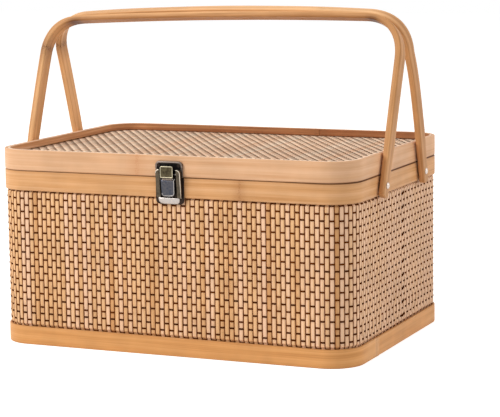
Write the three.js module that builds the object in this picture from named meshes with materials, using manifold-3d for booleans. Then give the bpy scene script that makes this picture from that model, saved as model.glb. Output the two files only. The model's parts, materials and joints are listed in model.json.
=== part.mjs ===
// Lidded bamboo basket: a woven body between bent bamboo bands, a hinged lid with a woven
// panel, two folding bamboo handles on rivets, and a metal toggle latch on the front.
// Millimetres, +Z up, +X to the right, the front faces -Y. The origin is on the floor under
// the middle of the base.

import * as THREE from 'three';
import { mergeGeometries, mergeVertices } from 'three/addons/utils/BufferGeometryUtils.js';
import Module from 'manifold-3d';

const wasm = await Module();
wasm.setup();

// Whole body, measured over the outer bands
const LENGTH = 350;
const DEPTH = 250;
const HEIGHT = 180; // floor to the top of the lid's rim
const CORNER_RADIUS = 30;
const FIT_GAP = 0.3; // between pieces that are nailed, glued or riveted together
const OVERRUN = 4; // how far a cutter runs past what it cuts

// Layers of the wall, from the outside in
const OUTER_BAND_T = 2.2;
const MAT_T = 2.6; // woven mat where the bands clamp it
const MAT_SWELL = 1.2; // how far the bare mat stands out from its clamped edges
const INNER_BAND_T = 2.2;
const MAT_SETBACK = 1; // mat edge, in from the band's edge

// Splints of the two mats: side by side, with a groove between each two
const SPLINT_PITCH = 4.52;
const SPLINT_PLACE = 43.6; // middle of one of the wall's splints, right of the front's middle
const GROOVE_W = 1.1;
const GROOVE_DEPTH = 0.8;

// Heights of the bands
const BASE_BAND_H = 17;
const BODY_BAND_H = 18;
const LID_BAND_H = 18.7;
const SEAM_GAP = 0.5; // between the closed lid and the body

// Floor of the basket
const LEDGE_H = 6;
const LEDGE_W = 6;
const BOARD_T = 3;
const BASE_SLAT_W = 20;
const BASE_SLAT_X = 95; // middle to outer slat

// Lid
const LID_RECESS = 7; // rim top down to the woven panel
const LID_INNER_BAND_T = 2.6;
const LID_SLAT_W = 16;
const LID_SLAT_H = 3;
const LID_SLAT_X = 62;

// Carrying handles: flat strips bent into a U
const HANDLE_W = 12.2;
const HANDLE_T = 5.3;
const HANDLE_REACH = 154.4; // pivot to the middle of the bar
const HANDLE_BEND_R = 37.5; // centre line of the two bends
const HANDLE_BAR_R = 4350; // slight crown of the bar
const HANDLE_TAIL = 10.5; // leg end below the pivot
const HANDLE_TAIL_R = 3;
const HANDLE_GAP = 0.5; // between the two bars where they meet
const PIVOT_Y = 53; // pivots, before and behind the middle
const MEET_Y = 5.4; // where the bars meet, behind the middle

// Handle rivets
const RIVET_R = 2;
const RIVET_HEAD_R = 3;
const RIVET_HEAD_H = 1.5;
const CLINCH_R = 3.2;
const CLINCH_H = 1.2;
const CLINCH_TIP_SHARE = 0.7; // end of the clinched tail to its widest part
const SPACER_R = 5;
const SPACER_T = 0.8;
const BURR_R = 4.4;
const BURR_T = 0.8;

// Small screws of the hinges and the latch
const SCREW_R = 0.9;
const SCREW_HEAD_R = 1.8;
const SCREW_HEAD_H = 0.8;
const SCREW_BEVEL_R_SHARE = 0.8; // inner edge of the head's bevel
const SCREW_BEVEL_H_SHARE = 0.7;

// Back hinges
const HINGE_X = 95; // middle of the back to each hinge
const HINGE_W = 30;
const HINGE_LEAF_H = 14;
const HINGE_LEAF_T = 1;
const HINGE_BARREL_R = 2.2;
const HINGE_PIN_R = 0.9;
const HINGE_PIN_END = 0.6; // pin past the barrel at each end
const HINGE_KNUCKLE_W = 9.6; // the lid's knuckle, between the body's two
const HINGE_SCREW_X = 10;
const HINGE_SCREW_Z = 8.6;

// Latch: positions out from the band's face and up from the seam
const LATCH_X = 4.8; // right of the middle, as it is mounted
const LATCH_W = 26.6;
const LATCH_PLATE_T = 1;
const LATCH_CORNER_R = 4;
const LATCH_SEAM_R = 0.4; // corners of the two plates beside the seam
const LID_PLATE_H = 14.2;
const LID_PLATE_BEAD_W = 1.4;
const LID_PLATE_BEAD_H = 0.9;
const BODY_PLATE_H = 23.8;
const EAR_INNER_X = 8.2;
const EAR_OUTER_X = 12.5;
const EAR_OUT = 4.6; // front of the ears
const EAR_RISE = 7.4; // above the seam
const EAR_CORNER_R = 3.4;
const SILL_TOP = -18; // of the sloping lower edge of the body plate
const LID_SCREW_X = 9.8;
const LID_SCREW_RISE = 10.8;
const BODY_SCREW_X = 3.6; // behind the lever
const BODY_SCREW_DROP = 11.5;
const CATCH_W = 9.2;
const CATCH_T = 1.3;
const CATCH_OUT = 3.8;
const CATCH_RISE = 5.8;
const LEVER_PIVOT_OUT = 3;
const LEVER_PIVOT_RISE = 2.9;
const LEVER_PIN_R = 0.7;
const LEVER_W = 14.6;
const LEVER_T = 0.9;
const LEVER_OUT = 4.9; // front of the lever's face
const LEVER_FLANGE_IN = 1.9; // back edge of its side flanges
const LEVER_BOTTOM = -16.6;
const LEVER_FLANGE_BOTTOM = -12.6;
const LEVER_TIP_R = 3.2;
const LEVER_TAPER = 0.8;
const LINK_R = 1.1; // rounded arms and knuckle round the two pivots
const CLAW_PIVOT_OUT = 4.7;
const CLAW_PIVOT_RISE = -1.3;
const CLAW_PIN_R = 0.5;
const CLAW_W = 11.8;
const CLAW_T = 0.9;
const CLAW_OUT = 6.2; // front of the claw's face
const CLAW_BOTTOM = -0.6;
const CLAW_TOP = 9.7;
const CLAW_HOOK_IN = 4.3; // inner edge of its turned-in top
const CLAW_CORNER_R = 1.5;

// Facets of the round shapes
const CORNER_STEPS = 5;
const MAT_CORNER_STEPS = 10;
const BEND_STEPS = 7;
const ROUND_STEPS = 18;
const SMALL_STEPS = 10;
const DOME_STEPS = 3;

// Values worked out from the sizes above
const halfLength = LENGTH / 2;
const halfDepth = DEPTH / 2;
const lidBottom = HEIGHT - LID_BAND_H;
const bodyTop = lidBottom - SEAM_GAP;
const bodyBandBottom = bodyTop - BODY_BAND_H;
const seamZ = lidBottom - SEAM_GAP / 2;
const matInset = OUTER_BAND_T + FIT_GAP;
const matInnerInset = matInset + MAT_T;
const innerBandInset = matInnerInset + FIT_GAP;
const lidPanelInset = OUTER_BAND_T + FIT_GAP;
const pivotZ = bodyTop - BODY_BAND_H / 2;
const legInnerX = halfLength + SPACER_T + 2 * FIT_GAP;
const legX = legInnerX + HANDLE_T / 2;
const leverTop = CLAW_PIVOT_RISE - LINK_R - FIT_GAP;

const bamboo = () => new THREE.MeshStandardMaterial({ color: 0xd9a56c, roughness: 0.55 });
const mat = () => new THREE.MeshStandardMaterial({ color: 0xd8b184, roughness: 0.65 });
const board = () => new THREE.MeshStandardMaterial({ color: 0xc99a63, roughness: 0.7 });
const alloy = () => new THREE.MeshStandardMaterial({ color: 0xd9d9d6, roughness: 0.35, metalness: 1 });
const bronze = () => new THREE.MeshStandardMaterial({ color: 0x6e6557, roughness: 0.4, metalness: 1 });

// A closed geometry as a solid that can be joined and cut, and back
function toSolid(geometry) {
  const plain = geometry.clone();
  plain.deleteAttribute('normal');
  plain.deleteAttribute('uv');
  const merged = mergeVertices(plain);
  return new wasm.Manifold(new wasm.Mesh({
    numProp: 3,
    vertProperties: new Float32Array(merged.attributes.position.array),
    triVerts: new Uint32Array(merged.index.array),
  }));
}

function toGeometry(solid) {
  const { vertProperties, triVerts } = solid.getMesh();
  const geometry = new THREE.BufferGeometry();
  geometry.setAttribute('position', new THREE.BufferAttribute(vertProperties, 3));
  geometry.setIndex(new THREE.BufferAttribute(triVerts, 1));
  return geometry;
}

const join = (...parts) => toGeometry(parts.map(toSolid).reduce((all, one) => all.add(one)));
const cut = (part, ...tools) => toGeometry(
  tools.map(toSolid).reduce((left, tool) => left.subtract(tool), toSolid(part)));
const common = (a, b) => toGeometry(toSolid(a).intersect(toSolid(b)));

function piece(name, geometry, material) {
  const mesh = new THREE.Mesh(geometry, material);
  mesh.name = name;
  return mesh;
}

function group(...children) {
  const all = new THREE.Group();
  all.add(...children);
  return all;
}

// Rectangle centred on the origin, with one radius for its two upper corners and one for the lower
function roundedRect(width, height, topR, bottomR = topR) {
  const x = width / 2;
  const y = height / 2;
  const shape = new THREE.Shape();
  shape.absarc(x - topR, y - topR, topR, 0, Math.PI / 2);
  shape.absarc(topR - x, y - topR, topR, Math.PI / 2, Math.PI);
  shape.absarc(bottomR - x, bottomR - y, bottomR, Math.PI, 1.5 * Math.PI);
  shape.absarc(x - bottomR, bottomR - y, bottomR, 1.5 * Math.PI, 2 * Math.PI);
  return shape;
}

// The basket's outline, moved in by inset
const outline = (inset) => roundedRect(LENGTH - 2 * inset, DEPTH - 2 * inset, CORNER_RADIUS - inset);

// A flat plate of a basket outline from bottom to top
function plate(inset, bottom, top, steps = CORNER_STEPS) {
  const solid = new THREE.ExtrudeGeometry(outline(inset), {
    depth: top - bottom, bevelEnabled: false, curveSegments: steps });
  return solid.translate(0, 0, bottom);
}

// A band that follows the outline: its outer face is moved in by inset
function band(inset, thickness, bottom, top) {
  const shape = outline(inset);
  shape.holes.push(outline(inset + thickness));
  const ring = new THREE.ExtrudeGeometry(shape, {
    depth: top - bottom, bevelEnabled: false, curveSegments: CORNER_STEPS });
  return ring.translate(0, 0, bottom);
}

// Box between two corners
function block(x0, x1, y0, y1, z0, z1) {
  const box = new THREE.BoxGeometry(x1 - x0, y1 - y0, z1 - z0);
  return box.translate((x0 + x1) / 2, (y0 + y1) / 2, (z0 + z1) / 2);
}

// Round bar along X or Y between two ends, at the other two coordinates
function barX(radius, x0, x1, y, z, steps = SMALL_STEPS) {
  const bar = new THREE.CylinderGeometry(radius, radius, x1 - x0, steps);
  return bar.rotateZ(Math.PI / 2).translate((x0 + x1) / 2, y, z);
}

function barY(radius, y0, y1, x, z, steps = SMALL_STEPS) {
  const bar = new THREE.CylinderGeometry(radius, radius, y1 - y0, steps);
  return bar.translate(x, (y0 + y1) / 2, z);
}

// Outline drawn in the plane across X, extruded along X; its points are (y, z)
function prismX(shape, x0, x1) {
  const prism = new THREE.ExtrudeGeometry(shape, {
    depth: x1 - x0, bevelEnabled: false, curveSegments: SMALL_STEPS });
  return prism.rotateX(Math.PI / 2).rotateZ(Math.PI / 2).translate(x0, 0, 0);
}

// Outline drawn in the plane across Y, as (x, z), from one distance out to another.
// Out is -Y, which is away from the basket in the latch's and the hinges' own frames.
function prismOut(shape, out0, out1) {
  const prism = new THREE.ExtrudeGeometry(shape, {
    depth: out1 - out0, bevelEnabled: false, curveSegments: CORNER_STEPS });
  return prism.rotateX(Math.PI / 2).translate(0, -out0, 0);
}

// Solid of revolution about Y from a profile of [radius, height] that starts and ends on the axis
const turned = (profile, steps) => new THREE.LatheGeometry(
  profile.map(([r, h]) => new THREE.Vector2(r, h)), steps);

// Places of the four handle rivets and of the screws, in the basket's frame
const sides = [['left', -1], ['right', 1]];
const ends = [['front', -1], ['back', 1]];
const hingeScrewXs = sides.flatMap(([, s]) => sides.map(([, t]) => s * HINGE_X + t * HINGE_SCREW_X));

// Holes through a band for the screws of the hinges, behind, and of the latch, in front
const backHoles = (z) => hingeScrewXs.map((x) => barY(
  SCREW_R + FIT_GAP, halfDepth - OUTER_BAND_T - FIT_GAP / 2, halfDepth + OVERRUN, x, z));
const frontHoles = (x, z) => sides.map(([, s]) => barY(
  SCREW_R + FIT_GAP, -halfDepth - OVERRUN, FIT_GAP / 2 + OUTER_BAND_T - halfDepth, LATCH_X + s * x, z));

// Holes for the handle rivets, through both sides at once
const rivetHoles = () => ends.map(([, end]) => barX(
  RIVET_R + FIT_GAP, -halfLength - OVERRUN, halfLength + OVERRUN, end * PIVOT_Y, pivotZ, ROUND_STEPS));

// Cutter for the groove between two splints: drawn with +X out of the mat, extruded along Z
function groove(length) {
  const shape = new THREE.Shape();
  shape.moveTo(-GROOVE_DEPTH, 0);
  shape.lineTo(0, -GROOVE_W / 2);
  shape.lineTo(OVERRUN, -GROOVE_W / 2);
  shape.lineTo(OVERRUN, GROOVE_W / 2);
  shape.lineTo(0, GROOVE_W / 2);
  return new THREE.ExtrudeGeometry(shape, { depth: length, bevelEnabled: false });
}

// The outline's four sides and four corners in turn, anticlockwise from the middle of the front:
// a corner's middle, and the angle out of the basket, at a distance along the outline
function alongOutline(distance) {
  const quarter = CORNER_RADIUS * Math.PI / 2;
  const half = [halfLength - CORNER_RADIUS, halfDepth - CORNER_RADIUS];
  const middle = [0, -half[1]];
  let rest = distance;
  let angle = -Math.PI / 2;
  for (let side = 0; side < 5; side += 1) {
    const run = Math.min(rest, (side ? 2 : 1) * half[side % 2]);
    middle[0] -= run * Math.round(Math.sin(angle));
    middle[1] += run * Math.round(Math.cos(angle));
    rest -= run;
    const bend = Math.min(rest, quarter);
    angle += bend / CORNER_RADIUS;
    rest -= bend;
    if (rest <= 0) break;
  }
  return { middle, angle };
}

// Grooves round the bare part of the wall's mat
function wallGrooves(inset, bottom, top) {
  const girth = 4 * (halfLength + halfDepth - 2 * CORNER_RADIUS) + 2 * Math.PI * CORNER_RADIUS;
  const count = Math.round(girth / SPLINT_PITCH);
  const grooves = Array.from({ length: count }, (_, n) => {
    const distance = (SPLINT_PLACE + (n + 0.5) * girth / count) % girth;
    const { middle, angle } = alongOutline(distance);
    const one = groove(top - bottom + 2 * OVERRUN).translate(CORNER_RADIUS - inset, 0, bottom - OVERRUN);
    return one.rotateZ(angle).translate(middle[0], middle[1], 0);
  });
  return mergeGeometries(grooves);
}

// Grooves from front to back over the lid's panel, with a splint on its middle line
function panelGrooves(inset, top) {
  const count = 2 * Math.floor((halfLength - inset) / SPLINT_PITCH - 1);
  const grooves = Array.from({ length: count }, (_, n) => {
    const one = groove(DEPTH).rotateY(-Math.PI / 2).rotateZ(Math.PI / 2);
    return one.translate((n - (count - 1) / 2) * SPLINT_PITCH, halfDepth, top);
  });
  return mergeGeometries(grooves);
}

// Floor: a ledge strip inside the base band, a board on it, and slats under the board
function makeBase() {
  const boardBottom = LEDGE_H + FIT_GAP;
  const slatHalf = halfDepth - innerBandInset - LEDGE_W - FIT_GAP;
  const slat = (x) => block(x - BASE_SLAT_W / 2, x + BASE_SLAT_W / 2, -slatHalf, slatHalf, 0, LEDGE_H);
  return [
    piece('base_band', band(0, OUTER_BAND_T, 0, BASE_BAND_H), bamboo()),
    piece('base_ledge', band(innerBandInset, LEDGE_W, 0, LEDGE_H), board()),
    piece('base_board', plate(innerBandInset, boardBottom, boardBottom + BOARD_T), board()),
    piece('base_slat_left', slat(-BASE_SLAT_X), bamboo()),
    piece('base_slat_middle', slat(0), bamboo()),
    piece('base_slat_right', slat(BASE_SLAT_X), bamboo()),
  ];
}

// Wall: one woven mat, clamped behind the base band and between the two top bands
function makeWall() {
  const clamped = band(matInset, MAT_T, MAT_SETBACK, bodyTop - MAT_SETBACK);
  const bareInset = matInset - MAT_SWELL;
  const bareBottom = BASE_BAND_H + FIT_GAP;
  const bareTop = bodyBandBottom - FIT_GAP;
  const bare = cut(plate(bareInset, bareBottom, bareTop, MAT_CORNER_STEPS),
    plate(matInnerInset, bareBottom - OVERRUN, bareTop + OVERRUN), wallGrooves(bareInset, bareBottom, bareTop));
  const outer = band(0, OUTER_BAND_T, bodyBandBottom, bodyTop);
  const inner = band(innerBandInset, INNER_BAND_T, bodyBandBottom, bodyTop);
  return [
    piece('woven_wall', cut(join(clamped, bare), ...rivetHoles()), mat()),
    piece('body_band_outer', cut(outer, ...rivetHoles(), ...backHoles(seamZ - HINGE_SCREW_Z),
      ...frontHoles(BODY_SCREW_X, seamZ - BODY_SCREW_DROP)), bamboo()),
    piece('body_band_inner', cut(inner, ...rivetHoles()), bamboo()),
  ];
}

// Lid: an outer band, a woven panel held between two inner bands, and two slats under it
function makeLid() {
  const panelTop = HEIGHT - LID_RECESS;
  const panelBottom = panelTop - MAT_T;
  const slatTop = panelBottom - FIT_GAP;
  const slatHalf = halfDepth - lidPanelInset - LID_INNER_BAND_T - FIT_GAP;
  const slat = (x) => block(x - LID_SLAT_W / 2, x + LID_SLAT_W / 2, -slatHalf, slatHalf,
    slatTop - LID_SLAT_H, slatTop);
  const outer = band(0, OUTER_BAND_T, lidBottom, HEIGHT);
  return [
    piece('lid_band_outer', cut(outer, ...backHoles(seamZ + HINGE_SCREW_Z),
      ...frontHoles(LID_SCREW_X, seamZ + LID_SCREW_RISE)), bamboo()),
    piece('lid_rim_inner', band(lidPanelInset, LID_INNER_BAND_T, panelTop + FIT_GAP, HEIGHT), bamboo()),
    piece('lid_panel_woven', cut(plate(lidPanelInset, panelBottom, panelTop, MAT_CORNER_STEPS),
      panelGrooves(lidPanelInset, panelTop)), mat()),
    piece('lid_band_inner', band(lidPanelInset, LID_INNER_BAND_T, lidBottom, slatTop), bamboo()),
    piece('lid_slat_left', slat(-LID_SLAT_X), bamboo()),
    piece('lid_slat_right', slat(LID_SLAT_X), bamboo()),
  ];
}

// U outline of a handle in the plane of (x, up), with the pivots at height 0. The bar's large
// arc and each bend touch, so both edges are offsets of one smooth centre line.
function handleOutline() {
  const bendX = legX - HANDLE_BEND_R;
  const barCentre = HANDLE_REACH - HANDLE_BAR_R;
  const bendZ = barCentre + Math.sqrt((HANDLE_BAR_R - HANDLE_BEND_R) ** 2 - bendX ** 2);
  const turn = Math.atan2(bendZ - barCentre, bendX);
  const half = HANDLE_T / 2;
  const shape = new THREE.Shape();
  const edge = (side, forwards) => {
    const bend = HANDLE_BEND_R + side * half;
    const bar = HANDLE_BAR_R + side * half;
    const run = [
      () => shape.absarc(bendX, bendZ, bend, forwards ? 0 : turn, forwards ? turn : 0, !forwards),
      () => shape.absarc(0, barCentre, bar, forwards ? turn : Math.PI - turn,
        forwards ? Math.PI - turn : turn, !forwards),
      () => shape.absarc(-bendX, bendZ, bend, forwards ? Math.PI - turn : Math.PI,
        forwards ? Math.PI : Math.PI - turn, !forwards),
    ];
    (forwards ? run : run.reverse()).forEach((draw) => draw());
  };
  shape.moveTo(legX - half, -HANDLE_TAIL);
  shape.lineTo(legX + half, -HANDLE_TAIL);
  edge(1, true);
  shape.lineTo(-legX - half, -HANDLE_TAIL);
  shape.lineTo(half - legX, -HANDLE_TAIL);
  edge(-1, false);
  return shape;
}

// One handle in its own frame: pivots on the X axis, bar up
function handleSolid() {
  const strip = new THREE.ExtrudeGeometry(handleOutline(), {
    depth: HANDLE_W, bevelEnabled: false, curveSegments: BEND_STEPS });
  strip.rotateX(Math.PI / 2).translate(0, HANDLE_W / 2, 0);
  const height = 2 * HANDLE_REACH;
  const side = roundedRect(HANDLE_W, height, HANDLE_TAIL_R);
  const profile = prismX(side, -legX - HANDLE_T, legX + HANDLE_T);
  profile.translate(0, 0, height / 2 - HANDLE_TAIL);
  const hole = barX(RIVET_R + FIT_GAP, -legX - HANDLE_T, legX + HANDLE_T, 0, 0, ROUND_STEPS);
  return cut(common(strip, profile), hole);
}

// Lean at which the inner top corner of a bar reaches the plane at the given distance
// from its pivot: reach sin(lean) + (HANDLE_W / 2) cos(lean) = distance
function leanTo(distance) {
  const reach = HANDLE_REACH + HANDLE_T / 2;
  return Math.asin(distance / Math.hypot(reach, HANDLE_W / 2)) - Math.atan2(HANDLE_W / 2, reach);
}

function makeHandles() {
  return ends.map(([end, sign]) => {
    const handle = group(piece(`handle_${end}`, handleSolid(), bamboo()));
    handle.position.set(0, sign * PIVOT_Y, pivotZ);
    handle.rotation.x = sign * leanTo(PIVOT_Y - sign * MEET_Y - HANDLE_GAP / 2);
    return handle;
  });
}

// One riveted pivot in its own frame: X runs out of the basket, 0 is the outer band's face
function pivotSet(name) {
  const wallIn = innerBandInset + INNER_BAND_T;
  const burrOuter = -wallIn - FIT_GAP;
  const clinchOuter = burrOuter - BURR_T - FIT_GAP;
  const headInner = SPACER_T + HANDLE_T + 3 * FIT_GAP;
  const dome = Array.from({ length: DOME_STEPS + 1 }, (_, i) => {
    const rise = (i / DOME_STEPS) * (Math.PI / 2);
    return [RIVET_HEAD_R * Math.cos(rise), headInner + RIVET_HEAD_H * Math.sin(rise)];
  });
  const rivet = turned([
    [0, clinchOuter - CLINCH_H], [CLINCH_R * CLINCH_TIP_SHARE, clinchOuter - CLINCH_H],
    [CLINCH_R, clinchOuter], [RIVET_R, clinchOuter], [RIVET_R, headInner], ...dome], ROUND_STEPS);
  const washer = (radius, x0, x1) => cut(
    barX(radius, x0, x1, 0, 0, ROUND_STEPS),
    barX(RIVET_R + FIT_GAP, x0 - OVERRUN, x1 + OVERRUN, 0, 0, ROUND_STEPS));
  return group(
    piece(`handle_rivet_${name}`, rivet.rotateZ(-Math.PI / 2), alloy()),
    piece(`handle_spacer_${name}`, washer(SPACER_R, FIT_GAP, FIT_GAP + SPACER_T), alloy()),
    piece(`rivet_burr_${name}`, washer(BURR_R, burrOuter - BURR_T, burrOuter), alloy()),
  );
}

function makePivots() {
  return sides.flatMap(([side, s]) => ends.map(([end, e]) => {
    const set = pivotSet(`${end}_${side}`);
    set.position.set(s * halfLength, e * PIVOT_Y, pivotZ);
    set.rotation.z = s > 0 ? 0 : Math.PI;
    return set;
  }));
}

// A screw whose plate has its front at out, in the frame where out is -Y
function screw(name, x, out, z) {
  const tip = FIT_GAP - OUTER_BAND_T;
  const seat = out + FIT_GAP;
  const body = turned([
    [0, tip], [SCREW_R, tip], [SCREW_R, seat], [SCREW_HEAD_R, seat],
    [SCREW_HEAD_R * SCREW_BEVEL_R_SHARE, seat + SCREW_HEAD_H * SCREW_BEVEL_H_SHARE],
    [0, seat + SCREW_HEAD_H]], SMALL_STEPS);
  return piece(name, body.rotateX(Math.PI).translate(x, 0, z), bronze());
}

// One butt hinge in its own frame: out is -Y, the seam is at z = 0
function hingeSet(name) {
  const leafIn = FIT_GAP;
  const leafOut = leafIn + HINGE_LEAF_T;
  const pinOut = FIT_GAP + HINGE_BARREL_R;
  const half = HINGE_W / 2;
  const knuckle = HINGE_KNUCKLE_W / 2;
  const pinHalf = half + HINGE_PIN_END;
  const leafStart = HINGE_BARREL_R + FIT_GAP;
  const bore = barX(HINGE_PIN_R + FIT_GAP, -half - OVERRUN, half + OVERRUN, -pinOut, 0);
  const screwHole = (x, z) => barY(SCREW_R + FIT_GAP, -leafOut - OVERRUN, OVERRUN, x, z);
  const leaf = (up, spans) => {
    const z = (a, b) => (up > 0 ? [a, b] : [-b, -a]);
    const parts = [block(-half, half, -leafOut, -leafIn, ...z(leafStart, HINGE_LEAF_H))];
    for (const [x0, x1] of spans) {
      parts.push(block(x0, x1, -leafOut, -leafIn, ...z(0, HINGE_LEAF_H)));
      parts.push(barX(HINGE_BARREL_R, x0, x1, -pinOut, 0, ROUND_STEPS));
    }
    const holes = sides.map(([, s]) => screwHole(s * HINGE_SCREW_X, up * HINGE_SCREW_Z));
    return cut(join(...parts), bore, ...holes);
  };
  const outerStart = knuckle + FIT_GAP;
  const screws = sides.flatMap(([side, s]) => [
    screw(`${name}_screw_body_${side}`, s * HINGE_SCREW_X, leafOut, -HINGE_SCREW_Z),
    screw(`${name}_screw_lid_${side}`, s * HINGE_SCREW_X, leafOut, HINGE_SCREW_Z)]);
  return group(
    piece(`${name}_leaf_body`, leaf(-1, [[-half, -outerStart], [outerStart, half]]), bronze()),
    piece(`${name}_leaf_lid`, leaf(1, [[-knuckle, knuckle]]), bronze()),
    piece(`${name}_pin`, barX(HINGE_PIN_R, -pinHalf, pinHalf, -pinOut, 0), bronze()),
    ...screws,
  );
}

function makeHinges() {
  return sides.map(([side, s]) => {
    const hinge = hingeSet(`hinge_${side}`);
    hinge.position.set(s * HINGE_X, halfDepth, seamZ);
    hinge.rotation.z = Math.PI;
    return hinge;
  });
}

// Two equal circles joined by straight tangents, as (-out, z), for an arm across two pivots
function linkShape(outA, zA, outB, zB, radius) {
  const along = Math.atan2(zB - zA, outA - outB);
  const shape = new THREE.Shape();
  shape.absarc(-outA, zA, radius, along + Math.PI / 2, along + 1.5 * Math.PI);
  shape.absarc(-outB, zB, radius, along - Math.PI / 2, along + Math.PI / 2);
  return shape;
}

// Catch plate on the lid: a plate with a raised bead on its top and sides, and the catch ledge
function latchLidPlate() {
  const front = FIT_GAP + LATCH_PLATE_T;
  const middle = SEAM_GAP / 2 + LID_PLATE_H / 2;
  const face = (inset) => roundedRect(
    LATCH_W - 2 * inset, LID_PLATE_H - inset, LATCH_CORNER_R - inset, LATCH_SEAM_R);
  const base = prismOut(face(0), FIT_GAP, front).translate(0, 0, middle);
  const raised = prismOut(face(0), FIT_GAP, front + LID_PLATE_BEAD_H).translate(0, 0, middle);
  const field = prismOut(face(LID_PLATE_BEAD_W), front, front + OVERRUN)
    .translate(0, 0, middle - LID_PLATE_BEAD_W / 2);
  const earRoom = block(-LATCH_W, LATCH_W, -front - OVERRUN, -front, 0, EAR_RISE + FIT_GAP);
  const catchLedge = block(-CATCH_W / 2, CATCH_W / 2, -CATCH_OUT, -FIT_GAP, CATCH_RISE, CATCH_RISE + CATCH_T);
  const holes = sides.map(([, s]) => barY(
    SCREW_R + FIT_GAP, -front - OVERRUN, OVERRUN, s * LID_SCREW_X, LID_SCREW_RISE));
  return cut(join(base, cut(raised, field, earRoom), catchLedge), ...holes);
}

// Body plate: a plate with a sloping sill, and two ears that rise past the seam beside the claw
function latchBodyPlate() {
  const front = FIT_GAP + LATCH_PLATE_T;
  const bottom = -BODY_PLATE_H;
  const top = -SEAM_GAP / 2;
  const shape = (width) => roundedRect(width, top - bottom, LATCH_SEAM_R, LATCH_CORNER_R);
  const base = prismOut(shape(LATCH_W), FIT_GAP, front).translate(0, 0, (top + bottom) / 2);
  const slope = new THREE.Shape([
    new THREE.Vector2(-FIT_GAP, SILL_TOP), new THREE.Vector2(-EAR_OUT, SILL_TOP),
    new THREE.Vector2(-front, bottom), new THREE.Vector2(-FIT_GAP, bottom)]);
  const sillSides = prismOut(shape(2 * EAR_OUTER_X), 0, EAR_OUT).translate(0, 0, (top + bottom) / 2);
  const sill = common(prismX(slope, -EAR_OUTER_X, EAR_OUTER_X), sillSides);
  const ear = (s) => {
    const width = EAR_OUTER_X - EAR_INNER_X;
    const height = EAR_RISE - SILL_TOP;
    const side = new THREE.Shape();
    side.moveTo(0, 0);
    side.lineTo(width, 0);
    side.absarc(width - EAR_CORNER_R, height - EAR_CORNER_R, EAR_CORNER_R, 0, Math.PI / 2);
    side.lineTo(0, height);
    const solid = prismOut(side, 0, EAR_OUT - FIT_GAP);
    if (s < 0) solid.rotateZ(Math.PI).translate(0, FIT_GAP - EAR_OUT, 0);
    return solid.translate(s * EAR_INNER_X, -FIT_GAP, SILL_TOP);
  };
  const lidRoom = block(-LATCH_W, LATCH_W, -front - FIT_GAP, OVERRUN, top, EAR_RISE + OVERRUN);
  const pivot = barX(LEVER_PIN_R + FIT_GAP, -LATCH_W, LATCH_W, -LEVER_PIVOT_OUT, LEVER_PIVOT_RISE);
  const holes = sides.map(([, s]) => barY(
    SCREW_R + FIT_GAP, -front - OVERRUN, OVERRUN, s * BODY_SCREW_X, -BODY_SCREW_DROP));
  return cut(join(base, sill, ear(1), ear(-1)), lidRoom, pivot, ...holes);
}

// Lever: a tapered face with a rounded tip, side flanges, and arms up to its pivot
function latchLever() {
  const half = LEVER_W / 2;
  const tip = half - LEVER_TAPER;
  const shape = new THREE.Shape();
  shape.moveTo(half, leverTop);
  shape.lineTo(-half, leverTop);
  shape.absarc(LEVER_TIP_R - tip, LEVER_BOTTOM + LEVER_TIP_R, LEVER_TIP_R, Math.PI, 1.5 * Math.PI);
  shape.absarc(tip - LEVER_TIP_R, LEVER_BOTTOM + LEVER_TIP_R, LEVER_TIP_R, 1.5 * Math.PI, 2 * Math.PI);
  const face = prismOut(shape, LEVER_OUT - LEVER_T, LEVER_OUT);
  const flange = new THREE.Shape([
    new THREE.Vector2(-LEVER_OUT, CLAW_PIVOT_RISE), new THREE.Vector2(-LEVER_OUT, LEVER_FLANGE_BOTTOM),
    new THREE.Vector2(LEVER_T - LEVER_OUT, LEVER_FLANGE_BOTTOM),
    new THREE.Vector2(-LEVER_FLANGE_IN, leverTop),
    new THREE.Vector2(LINK_R - CLAW_PIVOT_OUT, CLAW_PIVOT_RISE)]);
  const arm = linkShape(CLAW_PIVOT_OUT, CLAW_PIVOT_RISE, LEVER_PIVOT_OUT, LEVER_PIVOT_RISE, LINK_R);
  const cheeks = sides.flatMap(([, s]) => {
    const x0 = s > 0 ? half - LEVER_T : -half;
    return [prismX(flange, x0, x0 + LEVER_T), prismX(arm, x0, x0 + LEVER_T)];
  });
  const pivot = barX(LEVER_PIN_R + FIT_GAP, -LEVER_W, LEVER_W, -LEVER_PIVOT_OUT, LEVER_PIVOT_RISE);
  const clawPivot = barX(CLAW_PIN_R + FIT_GAP, -LEVER_W, LEVER_W, -CLAW_PIVOT_OUT, CLAW_PIVOT_RISE);
  return cut(join(face, ...cheeks), pivot, clawPivot);
}

// Claw: a knuckle on the claw pin, a square face, and a turned-in top over the catch
function latchClaw() {
  const half = CLAW_W / 2;
  const middle = (CLAW_TOP + CLAW_BOTTOM) / 2;
  const square = roundedRect(CLAW_W, CLAW_TOP - CLAW_BOTTOM, CLAW_CORNER_R, CLAW_T / 2);
  const face = prismOut(square, CLAW_OUT - CLAW_T, CLAW_OUT).translate(0, 0, middle);
  const inner = half - CLAW_CORNER_R;
  const hook = block(-inner, inner, -CLAW_OUT + CLAW_T / 2, -CLAW_HOOK_IN, CLAW_TOP - CLAW_T, CLAW_TOP);
  const knuckle = barX(LINK_R, -inner, inner, -CLAW_PIVOT_OUT, CLAW_PIVOT_RISE);
  const webHalf = CLAW_T / 2;
  const web = linkShape(CLAW_PIVOT_OUT, CLAW_PIVOT_RISE, CLAW_OUT - webHalf, CLAW_BOTTOM + webHalf, webHalf);
  const bore = barX(CLAW_PIN_R + FIT_GAP, -CLAW_W, CLAW_W, -CLAW_PIVOT_OUT, CLAW_PIVOT_RISE);
  return cut(join(face, hook, knuckle, prismX(web, -inner, inner)), bore);
}

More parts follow.
